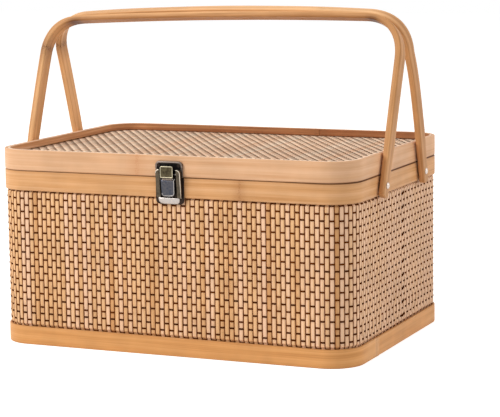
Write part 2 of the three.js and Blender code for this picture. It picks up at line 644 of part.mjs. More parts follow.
function makeLatch() {
  const front = FIT_GAP + LATCH_PLATE_T;
  const leverPin = barX(LEVER_PIN_R, -EAR_OUTER_X, EAR_OUTER_X, -LEVER_PIVOT_OUT, LEVER_PIVOT_RISE);
  const clawPin = barX(CLAW_PIN_R, -LEVER_W / 2, LEVER_W / 2, -CLAW_PIVOT_OUT, CLAW_PIVOT_RISE);
  const latch = group(
    piece('latch_lid_plate', latchLidPlate(), bronze()),
    piece('latch_body_plate', latchBodyPlate(), bronze()),
    piece('latch_lever', latchLever(), bronze()),
    piece('latch_claw', latchClaw(), bronze()),
    piece('latch_lever_pin', leverPin, bronze()),
    piece('latch_claw_pin', clawPin, bronze()),
    ...sides.flatMap(([side, s]) => [
      screw(`latch_screw_lid_${side}`, s * LID_SCREW_X, front, LID_SCREW_RISE),
      screw(`latch_screw_body_${side}`, s * BODY_SCREW_X, front, -BODY_SCREW_DROP)]),
  );
  latch.position.set(LATCH_X, -halfDepth, seamZ);
  return latch;
}

const basket = group(...makeBase(), ...makeWall(), ...makeLid(), ...makeHandles(), ...makePivots(),
  ...makeHinges(), makeLatch());

export default basket;
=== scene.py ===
# %% [markdown]
# # Lidded bamboo basket
# The visual model of a woven bamboo basket: two bent bands and a base band hold a woven mat,
# a hinged lid carries a woven panel, two bent bamboo handles fold on rivets, and a metal toggle
# latch closes the front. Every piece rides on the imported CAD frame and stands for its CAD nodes.
# Lengths are metres, written as a number times `mm`; +Z is up and the front faces -Y.

import json
import math

import bmesh
import bpy
import numpy as np
from mathutils import Matrix, Vector

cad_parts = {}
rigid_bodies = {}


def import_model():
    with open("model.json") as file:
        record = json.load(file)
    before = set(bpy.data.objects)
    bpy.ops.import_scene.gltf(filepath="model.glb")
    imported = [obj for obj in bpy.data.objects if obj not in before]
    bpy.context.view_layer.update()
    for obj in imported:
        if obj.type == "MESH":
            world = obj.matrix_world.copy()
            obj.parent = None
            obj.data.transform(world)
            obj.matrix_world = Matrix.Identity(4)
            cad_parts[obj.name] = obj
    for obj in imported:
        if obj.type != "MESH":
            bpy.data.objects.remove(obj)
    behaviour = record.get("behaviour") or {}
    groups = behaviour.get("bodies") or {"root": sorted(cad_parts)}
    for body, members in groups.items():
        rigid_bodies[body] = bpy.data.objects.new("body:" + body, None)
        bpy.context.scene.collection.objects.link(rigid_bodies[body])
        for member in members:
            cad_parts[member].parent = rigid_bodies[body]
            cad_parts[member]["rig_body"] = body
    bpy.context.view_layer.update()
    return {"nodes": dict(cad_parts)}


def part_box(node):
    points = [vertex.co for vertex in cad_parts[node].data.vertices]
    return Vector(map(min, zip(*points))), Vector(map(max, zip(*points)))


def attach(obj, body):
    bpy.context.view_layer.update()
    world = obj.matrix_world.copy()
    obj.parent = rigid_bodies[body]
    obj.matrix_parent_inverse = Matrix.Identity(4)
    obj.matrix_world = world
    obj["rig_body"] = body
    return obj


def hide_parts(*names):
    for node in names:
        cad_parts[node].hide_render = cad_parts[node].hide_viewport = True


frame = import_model()
mm = 0.001
rng = np.random.default_rng(35)


def box(node):
    """Lowest and highest corner of a CAD node, as the two rows of an array."""
    return np.array(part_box(node))


def heights_of(node):
    """Lowest and highest z of a CAD node."""
    low, high = box(node)
    return low[2], high[2]


half_length, half_depth, base_top = box("base_band")[1]
body_bottom, body_top = heights_of("body_band_outer")
lid_bottom, lid_top = heights_of("lid_band_outer")
seam_z = (body_top + lid_bottom) / 2
print("plan", half_length * 2, half_depth * 2, "bands", base_top, body_bottom, body_top, lid_bottom, lid_top)

# %% [markdown]
# ## Camera
# The photograph is a studio shot from the front right with a long lens. A camera could be moved
# by eye until the picture looks alike, but small errors in it would bend every shape that is
# measured through it. So it was fitted to the basket's corners first, and its angles are written
# as yaw, pitch and roll about one aim point.

# %% Camera
YAW, PITCH, ROLL = (math.radians(a) for a in (23.69, 8.36, -0.76))
AIM = Vector((26.6 * mm, 0, 116.8 * mm))
CAMERA_DISTANCE = 1821.2 * mm
FOCAL_PX = 1944.9
PICTURE_W = 500
SENSOR = 36

back = Vector((math.sin(YAW) * math.cos(PITCH), -math.cos(YAW) * math.cos(PITCH), math.sin(PITCH)))
level = Vector((math.cos(YAW), math.sin(YAW), 0))
upward = back.cross(level)
right = level * math.cos(ROLL) + upward * math.sin(ROLL)
upward = upward * math.cos(ROLL) - level * math.sin(ROLL)


def new_object(name, data):
    """An object with its data, linked into the scene."""
    made = bpy.data.objects.new(name, data)
    bpy.context.scene.collection.objects.link(made)
    return made


camera = new_object("camera", bpy.data.cameras.new("camera"))
camera.data.sensor_width = SENSOR
camera.data.lens = FOCAL_PX * SENSOR / PICTURE_W
placing = Matrix((right, upward, back)).transposed().to_4x4()
placing.translation = AIM + back * CAMERA_DISTANCE
camera.matrix_world = placing
bpy.context.scene.camera = camera
bpy.context.scene.view_settings.view_transform = "Standard"
print("camera at", [round(v, 4) for v in placing.translation], "lens", round(camera.data.lens, 2))

# %% [markdown]
# ## Helpers for node trees
# Materials, the world and the node groups are all trees of nodes. These helpers add a node with
# its settings and inputs in one line, so that a tree reads like a formula.


# %% Nodes and their inputs
def feed(tree, node, inputs):
    """Links a node's inputs from sockets, or sets them to values."""
    for key, value in inputs.items():
        if isinstance(value, bpy.types.NodeSocket):
            tree.links.new(value, node.inputs[key])
        else:
            node.inputs[key].default_value = value


def add(tree, kind, inputs=None, **settings):
    """A new node with its settings and its inputs."""
    made = tree.nodes.new(kind)
    for name, value in settings.items():
        setattr(made, name, value)
    feed(tree, made, inputs or {})
    return made


def maths(tree, operation, *values, clamp=False):
    """The output of a Math node."""
    node = add(tree, "ShaderNodeMath", dict(enumerate(values)), operation=operation, use_clamp=clamp)
    return node.outputs[0]


def new_material(name):
    """A material with its node tree and its shader."""
    paint = bpy.data.materials.new(name)
    paint.use_nodes = True
    return paint, paint.node_tree, paint.node_tree.nodes["Principled BSDF"]


def seen_directly(tree):
    """1 for a ray that shows the surroundings as they look: from the camera, a mirror or glass."""
    rays = add(tree, "ShaderNodeLightPath").outputs
    shown = maths(tree, "MAXIMUM", rays["Is Camera Ray"], rays["Is Glossy Ray"])
    return maths(tree, "MAXIMUM", shown, rays["Is Transmission Ray"])


# %% [markdown]
# ## Light and floor
# The studio's light is even, a little warm and from the front left, so one large lamp does most
# of the work and two weak ones lift the right side and the top. A brighter world would do for the
# white ground, but it would also bleach the bamboo. So the world lights the basket dimly, and
# only the rays that show the surroundings see it white, and the pale floor lifted by a glow. The
# floor keeps the basket's faint shadow.


# %% Lamps
def area_light(name, place, aim, size, power, colour):
    """A square area light at `place` that faces `aim`."""
    data = bpy.data.lights.new(name, "AREA")
    data.size, data.energy, data.color = size, power, colour
    lamp = new_object(name, data)
    lamp.location = place
    lamp.rotation_euler = (Vector(place) - Vector(aim)).to_track_quat("Z", "Y").to_euler()


BASKET_MIDDLE = (0, 0, 0.12)
area_light("key", (-2.0, -1.9, 2.0), BASKET_MIDDLE, 1.4, 72, (1.0, 0.985, 0.96))
area_light("side_fill", (2.4, 0.9, 1.1), BASKET_MIDDLE, 1.2, 17, (1.0, 0.985, 0.97))
area_light("overhead", (0.1, 0.4, 2.2), BASKET_MIDDLE, 1.4, 10, (1.0, 0.99, 0.98))
print("lights", len(bpy.data.lights))

# %% World and floor
WHITE = (1, 1, 1, 1)
AMBIENT, BACKDROP = 0.42, 1.0
FLOOR_GREY = (0.9, 0.9, 0.9, 1)
FLOOR_LIFT = 0.62
FLOOR_HALF = 6.0

world = bpy.data.worlds.new("studio")
world.use_nodes = True
sky = world.node_tree
sky.nodes.clear()
ambient, backdrop = (add(sky, "ShaderNodeBackground", {"Color": WHITE, "Strength": strength}).outputs[0]
                     for strength in (AMBIENT, BACKDROP))
sky_choice = add(sky, "ShaderNodeMixShader", {0: seen_directly(sky), 1: ambient, 2: backdrop}).outputs[0]
add(sky, "ShaderNodeOutputWorld", {"Surface": sky_choice})
bpy.context.scene.world = world

floor_mesh = bpy.data.meshes.new("floor")
floor_corners = [(x * FLOOR_HALF, y * FLOOR_HALF, 0) for x, y in ((-1, -1), (1, -1), (1, 1), (-1, 1))]
floor_mesh.from_pydata(floor_corners, [], [(0, 1, 2, 3)])
floor_paint, ground, ground_shader = new_material("floor_paint")
feed(ground, ground_shader, {
    "Base Color": FLOOR_GREY, "Roughness": 0.9, "Specular IOR Level": 0.0, "Emission Color": WHITE,
    "Emission Strength": maths(ground, "MULTIPLY", seen_directly(ground), FLOOR_LIFT)})
floor_mesh.materials.append(floor_paint)
new_object("floor", floor_mesh)
print("floor", FLOOR_HALF * 2, "m")

# %% [markdown]
# ## Materials
# Split bamboo shows long straight fibres, a darker ring at each culm node and a tone of its own
# on every strip. A picture of bamboo would repeat and stretch round the bends, so the effects are
# worked out on each strip instead: shared node groups give values and colours, and each material
# places them with numbers of its own. They read the piece's own UV map, where U runs across a
# strip and V along it, both in metres, and two attributes: `tone`, which differs from strip to
# strip and on the handles also holds painted shade, and a painted shade, which is 1 where a
# strip's side lies in a narrow gap, along a band's edge and under a handle's bend, where shade
# falls, and turns the colour there to a shade colour.


# %% Helpers for colours and groups
MIX_FACTOR, MIX_A, MIX_B, MIX_OUT = 0, 6, 7, 2
FLOAT, COLOUR, VECTOR = "NodeSocketFloat", "NodeSocketColor", "NodeSocketVector"


def mixed(tree, factor, a, b, blend="MIX"):
    """The colour output of a Mix node."""
    inputs = {MIX_FACTOR: factor, MIX_A: a, MIX_B: b}
    return add(tree, "ShaderNodeMix", inputs, data_type="RGBA", blend_type=blend).outputs[MIX_OUT]


def noise(tree, vector, scale, detail):
    """The value of a Noise Texture."""
    node = add(tree, "ShaderNodeTexNoise", {"Vector": vector, "Scale": scale, "Detail": detail})
    return node.outputs["Fac"]


def ranged(tree, value, old_range, new_range, **settings):
    """A value carried from one range to another, and held inside it."""
    (from_low, from_high), (to_low, to_high) = old_range, new_range
    inputs = {"Value": value, "From Min": from_low, "From Max": from_high,
              "To Min": to_low, "To Max": to_high}
    return add(tree, "ShaderNodeMapRange", inputs, **settings).outputs[0]


def new_group(name, inputs, outputs):
    """An empty node group with its interface, the values that it is given, and its result node."""
    tree = bpy.data.node_groups.new(name, "ShaderNodeTree")
    for title, kind, default in inputs:
        socket = tree.interface.new_socket(title, in_out="INPUT", socket_type=kind)
        if default is not None:
            socket.default_value = default
    for title, kind in outputs:
        tree.interface.new_socket(title, in_out="OUTPUT", socket_type=kind)
    return tree, tree.nodes.new("NodeGroupInput").outputs, tree.nodes.new("NodeGroupOutput")


def srgb(red, green, blue):
    """An opaque linear colour from display values of 0 to 255."""
    display = np.array([red, green, blue]) / 255
    linear = np.where(display <= 0.04045, display / 12.92, ((display + 0.055) / 1.055) ** 2.4)
    return (*linear.tolist(), 1.0)


# %% Group: long fibres
def fibre_group():
    """Streaks along V: noise(Across u, Along v), one broad and one fine layer."""
    tree, given, result = new_group(
        "long_fibres",
        [("Vector", VECTOR, None), ("Across", FLOAT, 900.0), ("Along", FLOAT, 18.0)],
        [("Broad", FLOAT), ("Fine", FLOAT)])
    spread = add(tree, "ShaderNodeCombineXYZ",
                 {"X": given["Across"], "Y": given["Along"], "Z": 1.0}).outputs[0]
    laid = add(tree, "ShaderNodeVectorMath", {0: given["Vector"], 1: spread}, operation="MULTIPLY").outputs[0]
    feed(tree, result, {"Broad": noise(tree, laid, 0.35, 2.0), "Fine": noise(tree, laid, 1.6, 3.0)})
    return tree


FIBRES = fibre_group()


# %% Group: culm nodes
def culm_node_group():
    """A speckled ring across the strip wherever (v - Place) mod Spacing is near 0, ragged at its
    painted_shade: ring = 1 - smoothstep(0, Width, |d + wobble|), and a patch round it, three times as wide."""
    tree, given, result = new_group(
        "culm_nodes",
        [("Vector", VECTOR, None), ("Place", FLOAT, 0.1), ("Spacing", FLOAT, 0.4), ("Width", FLOAT, 0.0015)],
        [("Ring", FLOAT), ("Patch", FLOAT)])
    along = add(tree, "ShaderNodeSeparateXYZ", {0: given["Vector"]}).outputs["Y"]
    wobble = maths(tree, "SUBTRACT", noise(tree, given["Vector"], 700.0, 2.0), 0.5)
    wobble = maths(tree, "MULTIPLY", wobble, given["Width"])
    half = maths(tree, "MULTIPLY", given["Spacing"], 0.5)
    offset = maths(tree, "ADD", maths(tree, "SUBTRACT", along, given["Place"]), half)
    offset = maths(tree, "SUBTRACT", maths(tree, "FLOORED_MODULO", offset, given["Spacing"]), half)
    distance = maths(tree, "ABSOLUTE", maths(tree, "ADD", offset, wobble))
    ring, patch = (ranged(tree, distance, (0.0, maths(tree, "MULTIPLY", given["Width"], times)), (1.0, 0.0),
                          interpolation_type="SMOOTHSTEP") for times in (1.0, 3.0))
    speckle = ranged(tree, noise(tree, given["Vector"], 900.0, 1.0), (0.42, 0.6), (0.3, 1.0))
    feed(tree, result, {"Ring": maths(tree, "MULTIPLY", ring, speckle), "Patch": patch})
    return tree


CULM_NODES = culm_node_group()


# %% Group: strip colour
def strip_colour_group():
    """Pale, middle, deep by tone and fibres: two mixes, over the lower and the upper half of the
    tone. Then a slow mottle in space, and painted shade: the shade colour where the shade value
    is high."""
    tree, given, result = new_group(
        "strip_colour",
        [("Tone", FLOAT, 0.5), ("Painted shade", FLOAT, 0.0), ("Broad", FLOAT, 0.5), ("Fine", FLOAT, 0.5),
         ("Pale", COLOUR, None), ("Middle", COLOUR, None), ("Deep", COLOUR, None), ("Shade colour", COLOUR, None),
         ("Place", VECTOR, None)],
        [("Color", COLOUR), ("Roughness", FLOAT)])
    streak = maths(tree, "MULTIPLY_ADD", maths(tree, "SUBTRACT", given["Broad"], 0.5), 1.3, given["Tone"])
    streak = maths(tree, "MULTIPLY_ADD", maths(tree, "SUBTRACT", given["Fine"], 0.5), 0.9, streak, clamp=True)
    lower = maths(tree, "MULTIPLY", streak, 2.0, clamp=True)
    upper = maths(tree, "MULTIPLY_ADD", streak, 2.0, -1.0, clamp=True)
    colour = mixed(tree, upper, mixed(tree, lower, given["Pale"], given["Middle"]), given["Deep"])
    shade = ranged(tree, noise(tree, given["Place"], 38.0, 2.0), (0.3, 0.7), (0.93, 1.06))
    grey = add(tree, "ShaderNodeCombineColor", {0: shade, 1: shade, 2: shade}).outputs[0]
    # Painted shade: the colour turns to the shade colour in gaps and along edges, where shade falls
    colour = mixed(tree, given["Painted shade"], mixed(tree, 1.0, colour, grey, "MULTIPLY"), given["Shade colour"])
    feed(tree, result, {"Color": colour, "Roughness": maths(tree, "MULTIPLY_ADD", given["Fine"], 0.2, 0.38)})
    return tree


STRIP_COLOUR = strip_colour_group()
print("node groups", len(bpy.data.node_groups))


# %% Bamboo material
def bamboo(name, pale, middle, deep, shade_colour, across=900.0, along=18.0, node_place=0.1, node_spacing=0.42,
           node_width=1.6 * mm, node_colour=(176, 122, 72), node_strength=0.55, bump=0.12, specular=0.15):
    """Bamboo with fibres along V, culm nodes at the given spacing, and painted shade in gaps and along edges.
    """
    paint, tree, shader = new_material(name)
    uv = add(tree, "ShaderNodeUVMap", uv_map="UV").outputs[0]
    fibres = add(tree, "ShaderNodeGroup", {"Vector": uv, "Across": across, "Along": along},
                 node_tree=FIBRES).outputs
    rings = add(tree, "ShaderNodeGroup", {
        "Vector": uv, "Place": node_place, "Spacing": node_spacing, "Width": node_width},
        node_tree=CULM_NODES).outputs
    tone, painted_shade = (add(tree, "ShaderNodeAttribute", attribute_name=title).outputs["Fac"]
                  for title in ("tone", "painted_shade"))
    strip = add(tree, "ShaderNodeGroup", {
        "Tone": tone, "Painted shade": painted_shade, "Broad": fibres["Broad"], "Fine": fibres["Fine"],
        "Pale": srgb(*pale), "Middle": srgb(*middle), "Deep": srgb(*deep), "Shade colour": srgb(*shade_colour),
        "Place": add(tree, "ShaderNodeTexCoord").outputs["Object"]}, node_tree=STRIP_COLOUR).outputs
    ring = maths(tree, "MULTIPLY", rings["Ring"], node_strength)
    patch = maths(tree, "MULTIPLY", rings["Patch"], node_strength * 0.45)
    colour = mixed(tree, maths(tree, "MAXIMUM", ring, patch), strip["Color"], srgb(*node_colour))
    height = maths(tree, "MULTIPLY_ADD", rings["Ring"], 0.6, fibres["Fine"])
    relief = add(tree, "ShaderNodeBump",
                 {"Strength": bump, "Distance": 0.3 * mm, "Height": height}).outputs[0]
    feed(tree, shader, {"Base Color": colour, "Roughness": strip["Roughness"], "Normal": relief,
                        "Specular IOR Level": specular})
    return paint


# %% Bamboo finishes
# Each finish has its pale, middle and deep colour, its painted shade colour, and then its fibres
# and culm nodes. The node places put a node where one is seen on the front, at a distance along
# the strip.
band_lid = bamboo(
    "bamboo_lid_band", (234, 189, 150), (224, 174, 132), (204, 148, 102), (112, 56, 20), 700, 9,
    node_place=0.929, node_spacing=0.47, node_width=5 * mm, node_colour=(204, 136, 88), node_strength=0.6)
band_body = bamboo(
    "bamboo_body_band", (232, 182, 136), (217, 161, 108), (188, 130, 76), (104, 52, 18), 700, 9,
    node_place=1.028, node_spacing=0.41, node_width=3.2 * mm, node_colour=(150, 92, 50), node_strength=0.6)
band_base = bamboo(
    "bamboo_base_band", (236, 178, 117), (223, 161, 99), (198, 134, 76), (140, 84, 44), 600, 8,
    node_place=0.3, node_spacing=0.44)
rim_wood = bamboo(
    "bamboo_rim_lining", (244, 212, 182), (208, 152, 106), (168, 110, 72), (96, 50, 24), 600, 9)
splint = bamboo(
    "bamboo_splint", (248, 205, 170), (236, 188, 137), (214, 158, 104), (134, 68, 16), 1500, 30,
    node_spacing=0.36, node_colour=(170, 118, 70), node_strength=0.4)
panel_splint = bamboo(
    "bamboo_panel_splint", (255, 232, 206), (254, 218, 186), (242, 196, 158), (128, 74, 42), 1500, 30,
    node_spacing=0.36, node_colour=(190, 140, 100), node_strength=0.3, specular=0.0)
weft = bamboo(
    "dyed_weft", (100, 48, 8), (88, 40, 6), (72, 32, 5), (46, 20, 4), 1500, 60,
    node_spacing=0.5, node_colour=(60, 28, 6), bump=0.05, specular=0.0)
panel_weft = bamboo(
    "dyed_panel_weft", (112, 62, 36), (98, 52, 28), (78, 40, 20), (60, 30, 14), 1500, 60,
    node_spacing=0.5, node_colour=(70, 38, 20), bump=0.05, specular=0.0)
handle_wood = bamboo(
    "bamboo_handle", (238, 186, 132), (208, 152, 100), (174, 120, 72), (84, 44, 20), 700, 12,
    node_place=0.521, node_spacing=0.6, node_width=6.5 * mm, node_colour=(92, 54, 32), node_strength=0.85)
board_wood = bamboo(
    "base_wood", (222, 176, 126), (206, 156, 106), (184, 130, 80), (120, 76, 42), 300, 12,
    node_place=0.05, node_spacing=0.5)
print("bamboo materials", sum(m.name.startswith("bamboo") for m in bpy.data.materials))


# %% [markdown]
# ## Metal finishes
# The latch, hinges and rivets are cast or stamped, with a dull plating. One even colour would
# look like plastic, so a slow mottle mixes two tones of each metal and roughens it, and a fine
# grit bumps the surface. The bright edges are painted highlights: pieces of their own with a
# bright finish of their own, because the parts are too small for a mask to draw a clean line.


# %% Metal materials
def metal(name, colour, worn, roughness, wear=0.35, metallic=1.0, grit_strength=0.04, specular=0.5):
    """Cast metal: a slow mottle between two colours, and a roughness that follows it."""
    paint, tree, shader = new_material(name)
    place = add(tree, "ShaderNodeTexCoord").outputs["Object"]
    share = ranged(tree, noise(tree, place, 420.0, 4.0), (0.35, 0.75), (0.0, wear))
    grit = noise(tree, place, 2600.0, 2.0)
    relief = add(tree, "ShaderNodeBump",
                 {"Strength": grit_strength, "Distance": 0.1 * mm, "Height": grit}).outputs[0]
    feed(tree, shader, {
        "Base Color": mixed(tree, share, srgb(*colour), srgb(*worn)),
        "Roughness": maths(tree, "MULTIPLY_ADD", share, 0.3, roughness),
        "Normal": relief, "Metallic": metallic, "Specular IOR Level": specular})
    return paint


bronze = metal("bronze_cast", (112, 100, 92), (150, 136, 126), 0.36)
ear_metal = metal("bronze_ears", (68, 60, 50), (112, 102, 86), 0.4, wear=0.6)
bronze_dark = metal("bronze_shadowed", (46, 38, 34), (74, 62, 54), 0.5)
# Painted highlights: bright finishes for the thin beads and rims that stand for light caught on the latch's
# edges
highlight_metal = metal("painted_highlight", (196, 186, 170), (224, 214, 196), 0.3)
dim_highlight = metal("dim_highlight", (140, 136, 134), (172, 166, 160), 0.34)
claw_highlight = metal("claw_highlight", (172, 163, 138), (200, 192, 164), 0.34)
steel = metal("steel_polished", (168, 161, 156), (200, 193, 187), 0.26, grit_strength=0.01)
lever_metal = metal("lever_polished", (62, 64, 73), (98, 94, 92), 0.26, wear=0.7)
claw_metal = metal("claw_worn", (58, 51, 38), (104, 95, 72), 0.36, wear=0.8)
enamel = metal("dark_enamel", (12, 9, 9), (34, 27, 25), 0.32, wear=0.5, metallic=0.1, specular=0.1)
nickel = metal("nickel", (198, 184, 173), (224, 212, 202), 0.34)
print("materials", len(bpy.data.materials))

# %% [markdown]
# ## Shape helpers
# Most of the basket is flat strips, so one function makes a mesh from an array of strips, each a
# run of cross-sections. A curve with a bevel profile could do the same for one strip, but an
# array makes a whole side of the mat at once and keeps each strip's own tone and UV map. Small
# metal parts are made from outlines that are extruded and bevelled, and round parts from turned
# profiles.


# %% Points
def columns(*values):
    """Arrays joined as the coordinates of points, along a new last axis."""
    return np.stack(np.broadcast_arrays(*values), -1)


def arc(angles, radius=1.0):
    """Points (r cos a, r sin a)."""
    return columns(radius * np.cos(angles), radius * np.sin(angles))


def run_of(outline):
    """Distance along a closed outline at each of its points, and at its first point again."""
    steps = np.linalg.norm(np.roll(outline, -1, 0) - outline, axis=1)
    return np.concatenate([[0], np.cumsum(steps)])


# %% Mesh of strips
def signed_volume(points, faces):
    """Sum of (a x b) . c / 6 over the triangles of the quads; positive if they face outwards."""
    a, b, c, d = (points[faces[:, n]] for n in range(4))
    return float((np.cross(a, b) * c).sum() + (np.cross(a, c) * d).sum()) / 6


def strip_mesh(name, points, across, along, material, tone=0.5, painted_shade=0.0, closed=False):
    """points[k, i, j]: strip k, station i, section point j. The sections are closed outlines, and
    `closed` joins the last station to the first. across has one value more than a section, and
    along one for each station (and one more if closed), alike for all strips or one row each."""
    count, stations, section, _ = points.shape
    spans = stations if closed else stations - 1
    k, i, j = np.meshgrid(np.arange(count), np.arange(spans), np.arange(section), indexing="ij")
    steps = ((0, 0), (1, 0), (1, 1), (0, 1))
    flat = points.reshape(-1, 3)
    quads = np.stack([(k * stations + (i + di) % stations) * section + (j + dj) % section
                      for di, dj in steps], -1).reshape(-1, 4)
    u, v = np.asarray(across), np.broadcast_to(along, (count, np.shape(along)[-1]))
    quad_uv = np.stack([columns(u[j + dj], v[k, i + di]) for di, dj in steps], -2).reshape(-1, 4, 2)
    order = np.arange(section)
    if signed_volume(flat, quads) < 0:
        quads, quad_uv, order = quads[:, ::-1], quad_uv[:, ::-1], order[::-1]
    faces, uvs = quads.tolist(), [quad_uv.reshape(-1, 2)]
    if not closed:
        for strip in range(count):
            for station, ring in ((0, order), (stations - 1, order[::-1])):
                faces.append(((strip * stations + station) * section + ring).tolist())
                uvs.append(columns(u[ring], v[strip, station]))
    mesh = bpy.data.meshes.new(name)
    mesh.from_pydata(flat.tolist(), [], faces)
    mesh.uv_layers.new(name="UV").data.foreach_set("uv", np.concatenate(uvs).ravel())
    for title, value in (("tone", tone), ("painted_shade", painted_shade)):
        values = np.broadcast_to(value, points.shape[:3]).astype(float).ravel()
        mesh.attributes.new(title, "FLOAT", "POINT").data.foreach_set("value", values)
    mesh.polygons.foreach_set("use_smooth", np.ones(len(faces), bool))
    mesh.materials.append(material)
    return new_object(name, mesh)


def rounded_section(width, thickness, radius, steps=3, crown=0.0):
    """Closed outline of a flat strip's cross-section as rows of (across, out): four arcs of the
    radius, extra points beside them on the broad faces so that those stay flat when shaded
    smooth, and an outer face raised by crown (1 - (2 a / width)^2)."""
    half_w, half_t = width / 2 - radius, thickness / 2 - radius
    rows = []
    for quarter, (x, y) in enumerate(((1, 1), (-1, 1), (-1, -1), (1, -1))):
        angles = np.linspace(0, math.pi / 2, steps + 1) + quarter * math.pi / 2
        rows.append((x * half_w, y * half_t) + arc(angles, radius))
        if quarter % 2 == 0:
            flat = np.array([0.94, 0.5, 0.0, -0.5, -0.94]) * half_w * x
            rows.append(columns(flat, y * thickness / 2))
    outline = np.concatenate(rows)
    outline[:, 1] += np.where(outline[:, 1] > 0, crown * (1 - (2 * outline[:, 0] / width) ** 2), 0)
    return outline


def hand_over(made, slot, *nodes):
    """Lets a finished piece ride with its CAD nodes and stand for them; the slot is not used."""
    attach(made, frame["nodes"][nodes[0]]["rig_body"])
    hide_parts(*nodes)


# %% Small solids from outlines
def extruded(outline, low, high, place):
    """A prism: outline points (a, b) between low and high along c, mapped by place(a, b, c)."""
    outline = np.asarray(outline, float)
    count = len(outline)
    points = place(np.tile(outline[:, 0], 2), np.tile(outline[:, 1], 2), np.repeat([low, high], count))
    ring = list(range(count))
    faces = [ring[::-1], [n + count for n in ring]]
    faces += [[n, (n + 1) % count, (n + 1) % count + count, n + count] for n in ring]
    return points, faces


def tidy_normals(mesh):
    """Merges doubles and turns every closed shell's faces outwards."""
    work = bmesh.new()
    work.from_mesh(mesh)
    bmesh.ops.remove_doubles(work, verts=work.verts, dist=1e-7)
    bmesh.ops.recalc_face_normals(work, faces=work.faces)
    work.to_mesh(mesh)
    work.free()


def solid_mesh(name, solids, material, bevel=0.0, segments=2):
    """One piece from several closed solids, with outward normals and bevelled edges."""
    points, faces = [], []
    for some_points, some_faces in solids:
        base = sum(len(p) for p in points)
        points.append(np.asarray(some_points))
        faces += [[n + base for n in face] for face in some_faces]
    mesh = bpy.data.meshes.new(name)
    mesh.from_pydata(np.concatenate(points).tolist(), [], faces)
    mesh.materials.append(material)
    tidy_normals(mesh)
    mesh.polygons.foreach_set("use_smooth", np.ones(len(mesh.polygons), bool))
    made = new_object(name, mesh)
    if bevel:
        rounding = made.modifiers.new("rounding", "BEVEL")
        rounding.width, rounding.segments = bevel, segments
        rounding.limit_method, rounding.angle_limit = "ANGLE", math.radians(35)
        rounding.harden_normals = True
    return made


def rounded_outline(width, height, top_r, bottom_r, steps=6):
    """A rectangle about the origin with rounded top and bottom corners, anticlockwise."""
    rows = []
    corners = ((1, 1, top_r), (-1, 1, top_r), (-1, -1, bottom_r), (1, -1, bottom_r))
    for quarter, (x, y, radius) in enumerate(corners):
        angles = np.linspace(0, math.pi / 2, steps + 1) + quarter * math.pi / 2
        rows.append((x * (width / 2 - radius), y * (height / 2 - radius)) + arc(angles, radius))
    return np.concatenate(rows)


# %% Small solids from turned profiles
def turned_points(profile, place, steps):
    """Profile rows (radius, height) turned about the axis: x = r cos t, y = r sin t and
    c = height, mapped by place(x, y, c)."""
    radius, height = np.asarray(profile, float).T
    turn = np.linspace(0, 2 * math.pi, steps, endpoint=False)
    return place(np.outer(np.cos(turn), radius).ravel(), np.outer(np.sin(turn), radius).ravel(),
                 np.tile(height, steps))


def turned_solid(profile, place, steps=28):
    """A solid from a profile that starts and ends on the axis, with triangles there."""
    rows = len(profile)
    on_axis = [radius < 1e-9 for radius, _ in profile]
    faces = []
    for n in range(steps):
        for m in range(rows - 1):
            here, there = n * rows + m, (n + 1) % steps * rows + m
            quad = [here, there, there + 1, here + 1]
            if on_axis[m]:
                quad = [here, there + 1, here + 1]
            if on_axis[m + 1]:
                quad = [here, there, here + 1]
            faces.append(quad)
    return turned_points(profile, place, steps), faces


def ring_solid(profile, place, steps=28):
    """A ring from a closed profile that stays off the axis."""
    rows = len(profile)
    faces = [[n * rows + m, (n + 1) % steps * rows + m, (n + 1) % steps * rows + (m + 1) % rows,
              n * rows + (m + 1) % rows] for n in range(steps) for m in range(rows)]
    return turned_points(profile, place, steps), faces


# %% [markdown]
# ## Plan of the basket
# The bands are bent round one plan: a rectangle with rounded corners. A curve object could hold
# it, but a function can be asked for many points at once. `around` gives the point at arc length
# s, moved in or out along the normal, so every ring of the basket, the mat's splints and its
# wefts take their places from the same curve. s starts at the front end of the right side and
# runs anticlockwise seen from above: right, back, left, front.

# %% Plan curve
CORNER_R = 30 * mm
core = np.array([half_length - CORNER_R, half_depth - CORNER_R])
corner_points = core * np.array([(1, -1), (1, 1), (-1, 1), (-1, -1)])
run_directions = np.array([(0, 1), (-1, 0), (0, -1), (1, 0)])
QUARTER = CORNER_R * math.pi / 2
piece_starts = np.concatenate([[0], np.cumsum([2 * core[1], QUARTER, 2 * core[0], QUARTER] * 2)])
GIRTH = piece_starts[-1]
FRONT_START = piece_starts[6]


def around(s, out, z):
    """Points at arc length s and height z: p(s) = c(s) + (CORNER_R + out) n(s), where c runs
    along the sides of the core rectangle and n turns by 90 degrees at each of its corners."""
    s, out, z = np.broadcast_arrays(np.mod(s, GIRTH), out, z)
    piece = np.clip(np.searchsorted(piece_starts, s, side="right") - 1, 0, 7)
    run = s - piece_starts[piece]
    side, bend = piece // 2, piece % 2
    normal = arc(side * math.pi / 2 + bend * run / CORNER_R)
    centre = corner_points[(side + bend) % 4] + run_directions[side] * ((1 - bend) * run)[..., None]
    return np.concatenate([centre + normal * (CORNER_R + out)[..., None], z[..., None]], -1)


def stations(start, end, straight=12 * mm, bend=3 * mm):
    """Arc lengths from start to end, close together at the corners."""
    marks = [start, end]
    for turn in range(-1, 3):
        for n in range(8):
            low, high = piece_starts[n] + turn * GIRTH, piece_starts[n + 1] + turn * GIRTH
            count = max(2, int((high - low) / (bend if n % 2 else straight)))
            marks += np.linspace(low, high, count, endpoint=False).tolist()
    marks = np.unique(np.round(marks, 6))
    return marks[(marks >= start - 1e-9) & (marks <= end + 1e-9)]


def front_s(x):
    """Arc length of the front at a given x."""
    return FRONT_START + core[0] + x


def right_s(y):
    """Arc length of the right side at a given y."""
    return core[1] + y


print("girth", round(GIRTH / mm, 1), "mm")

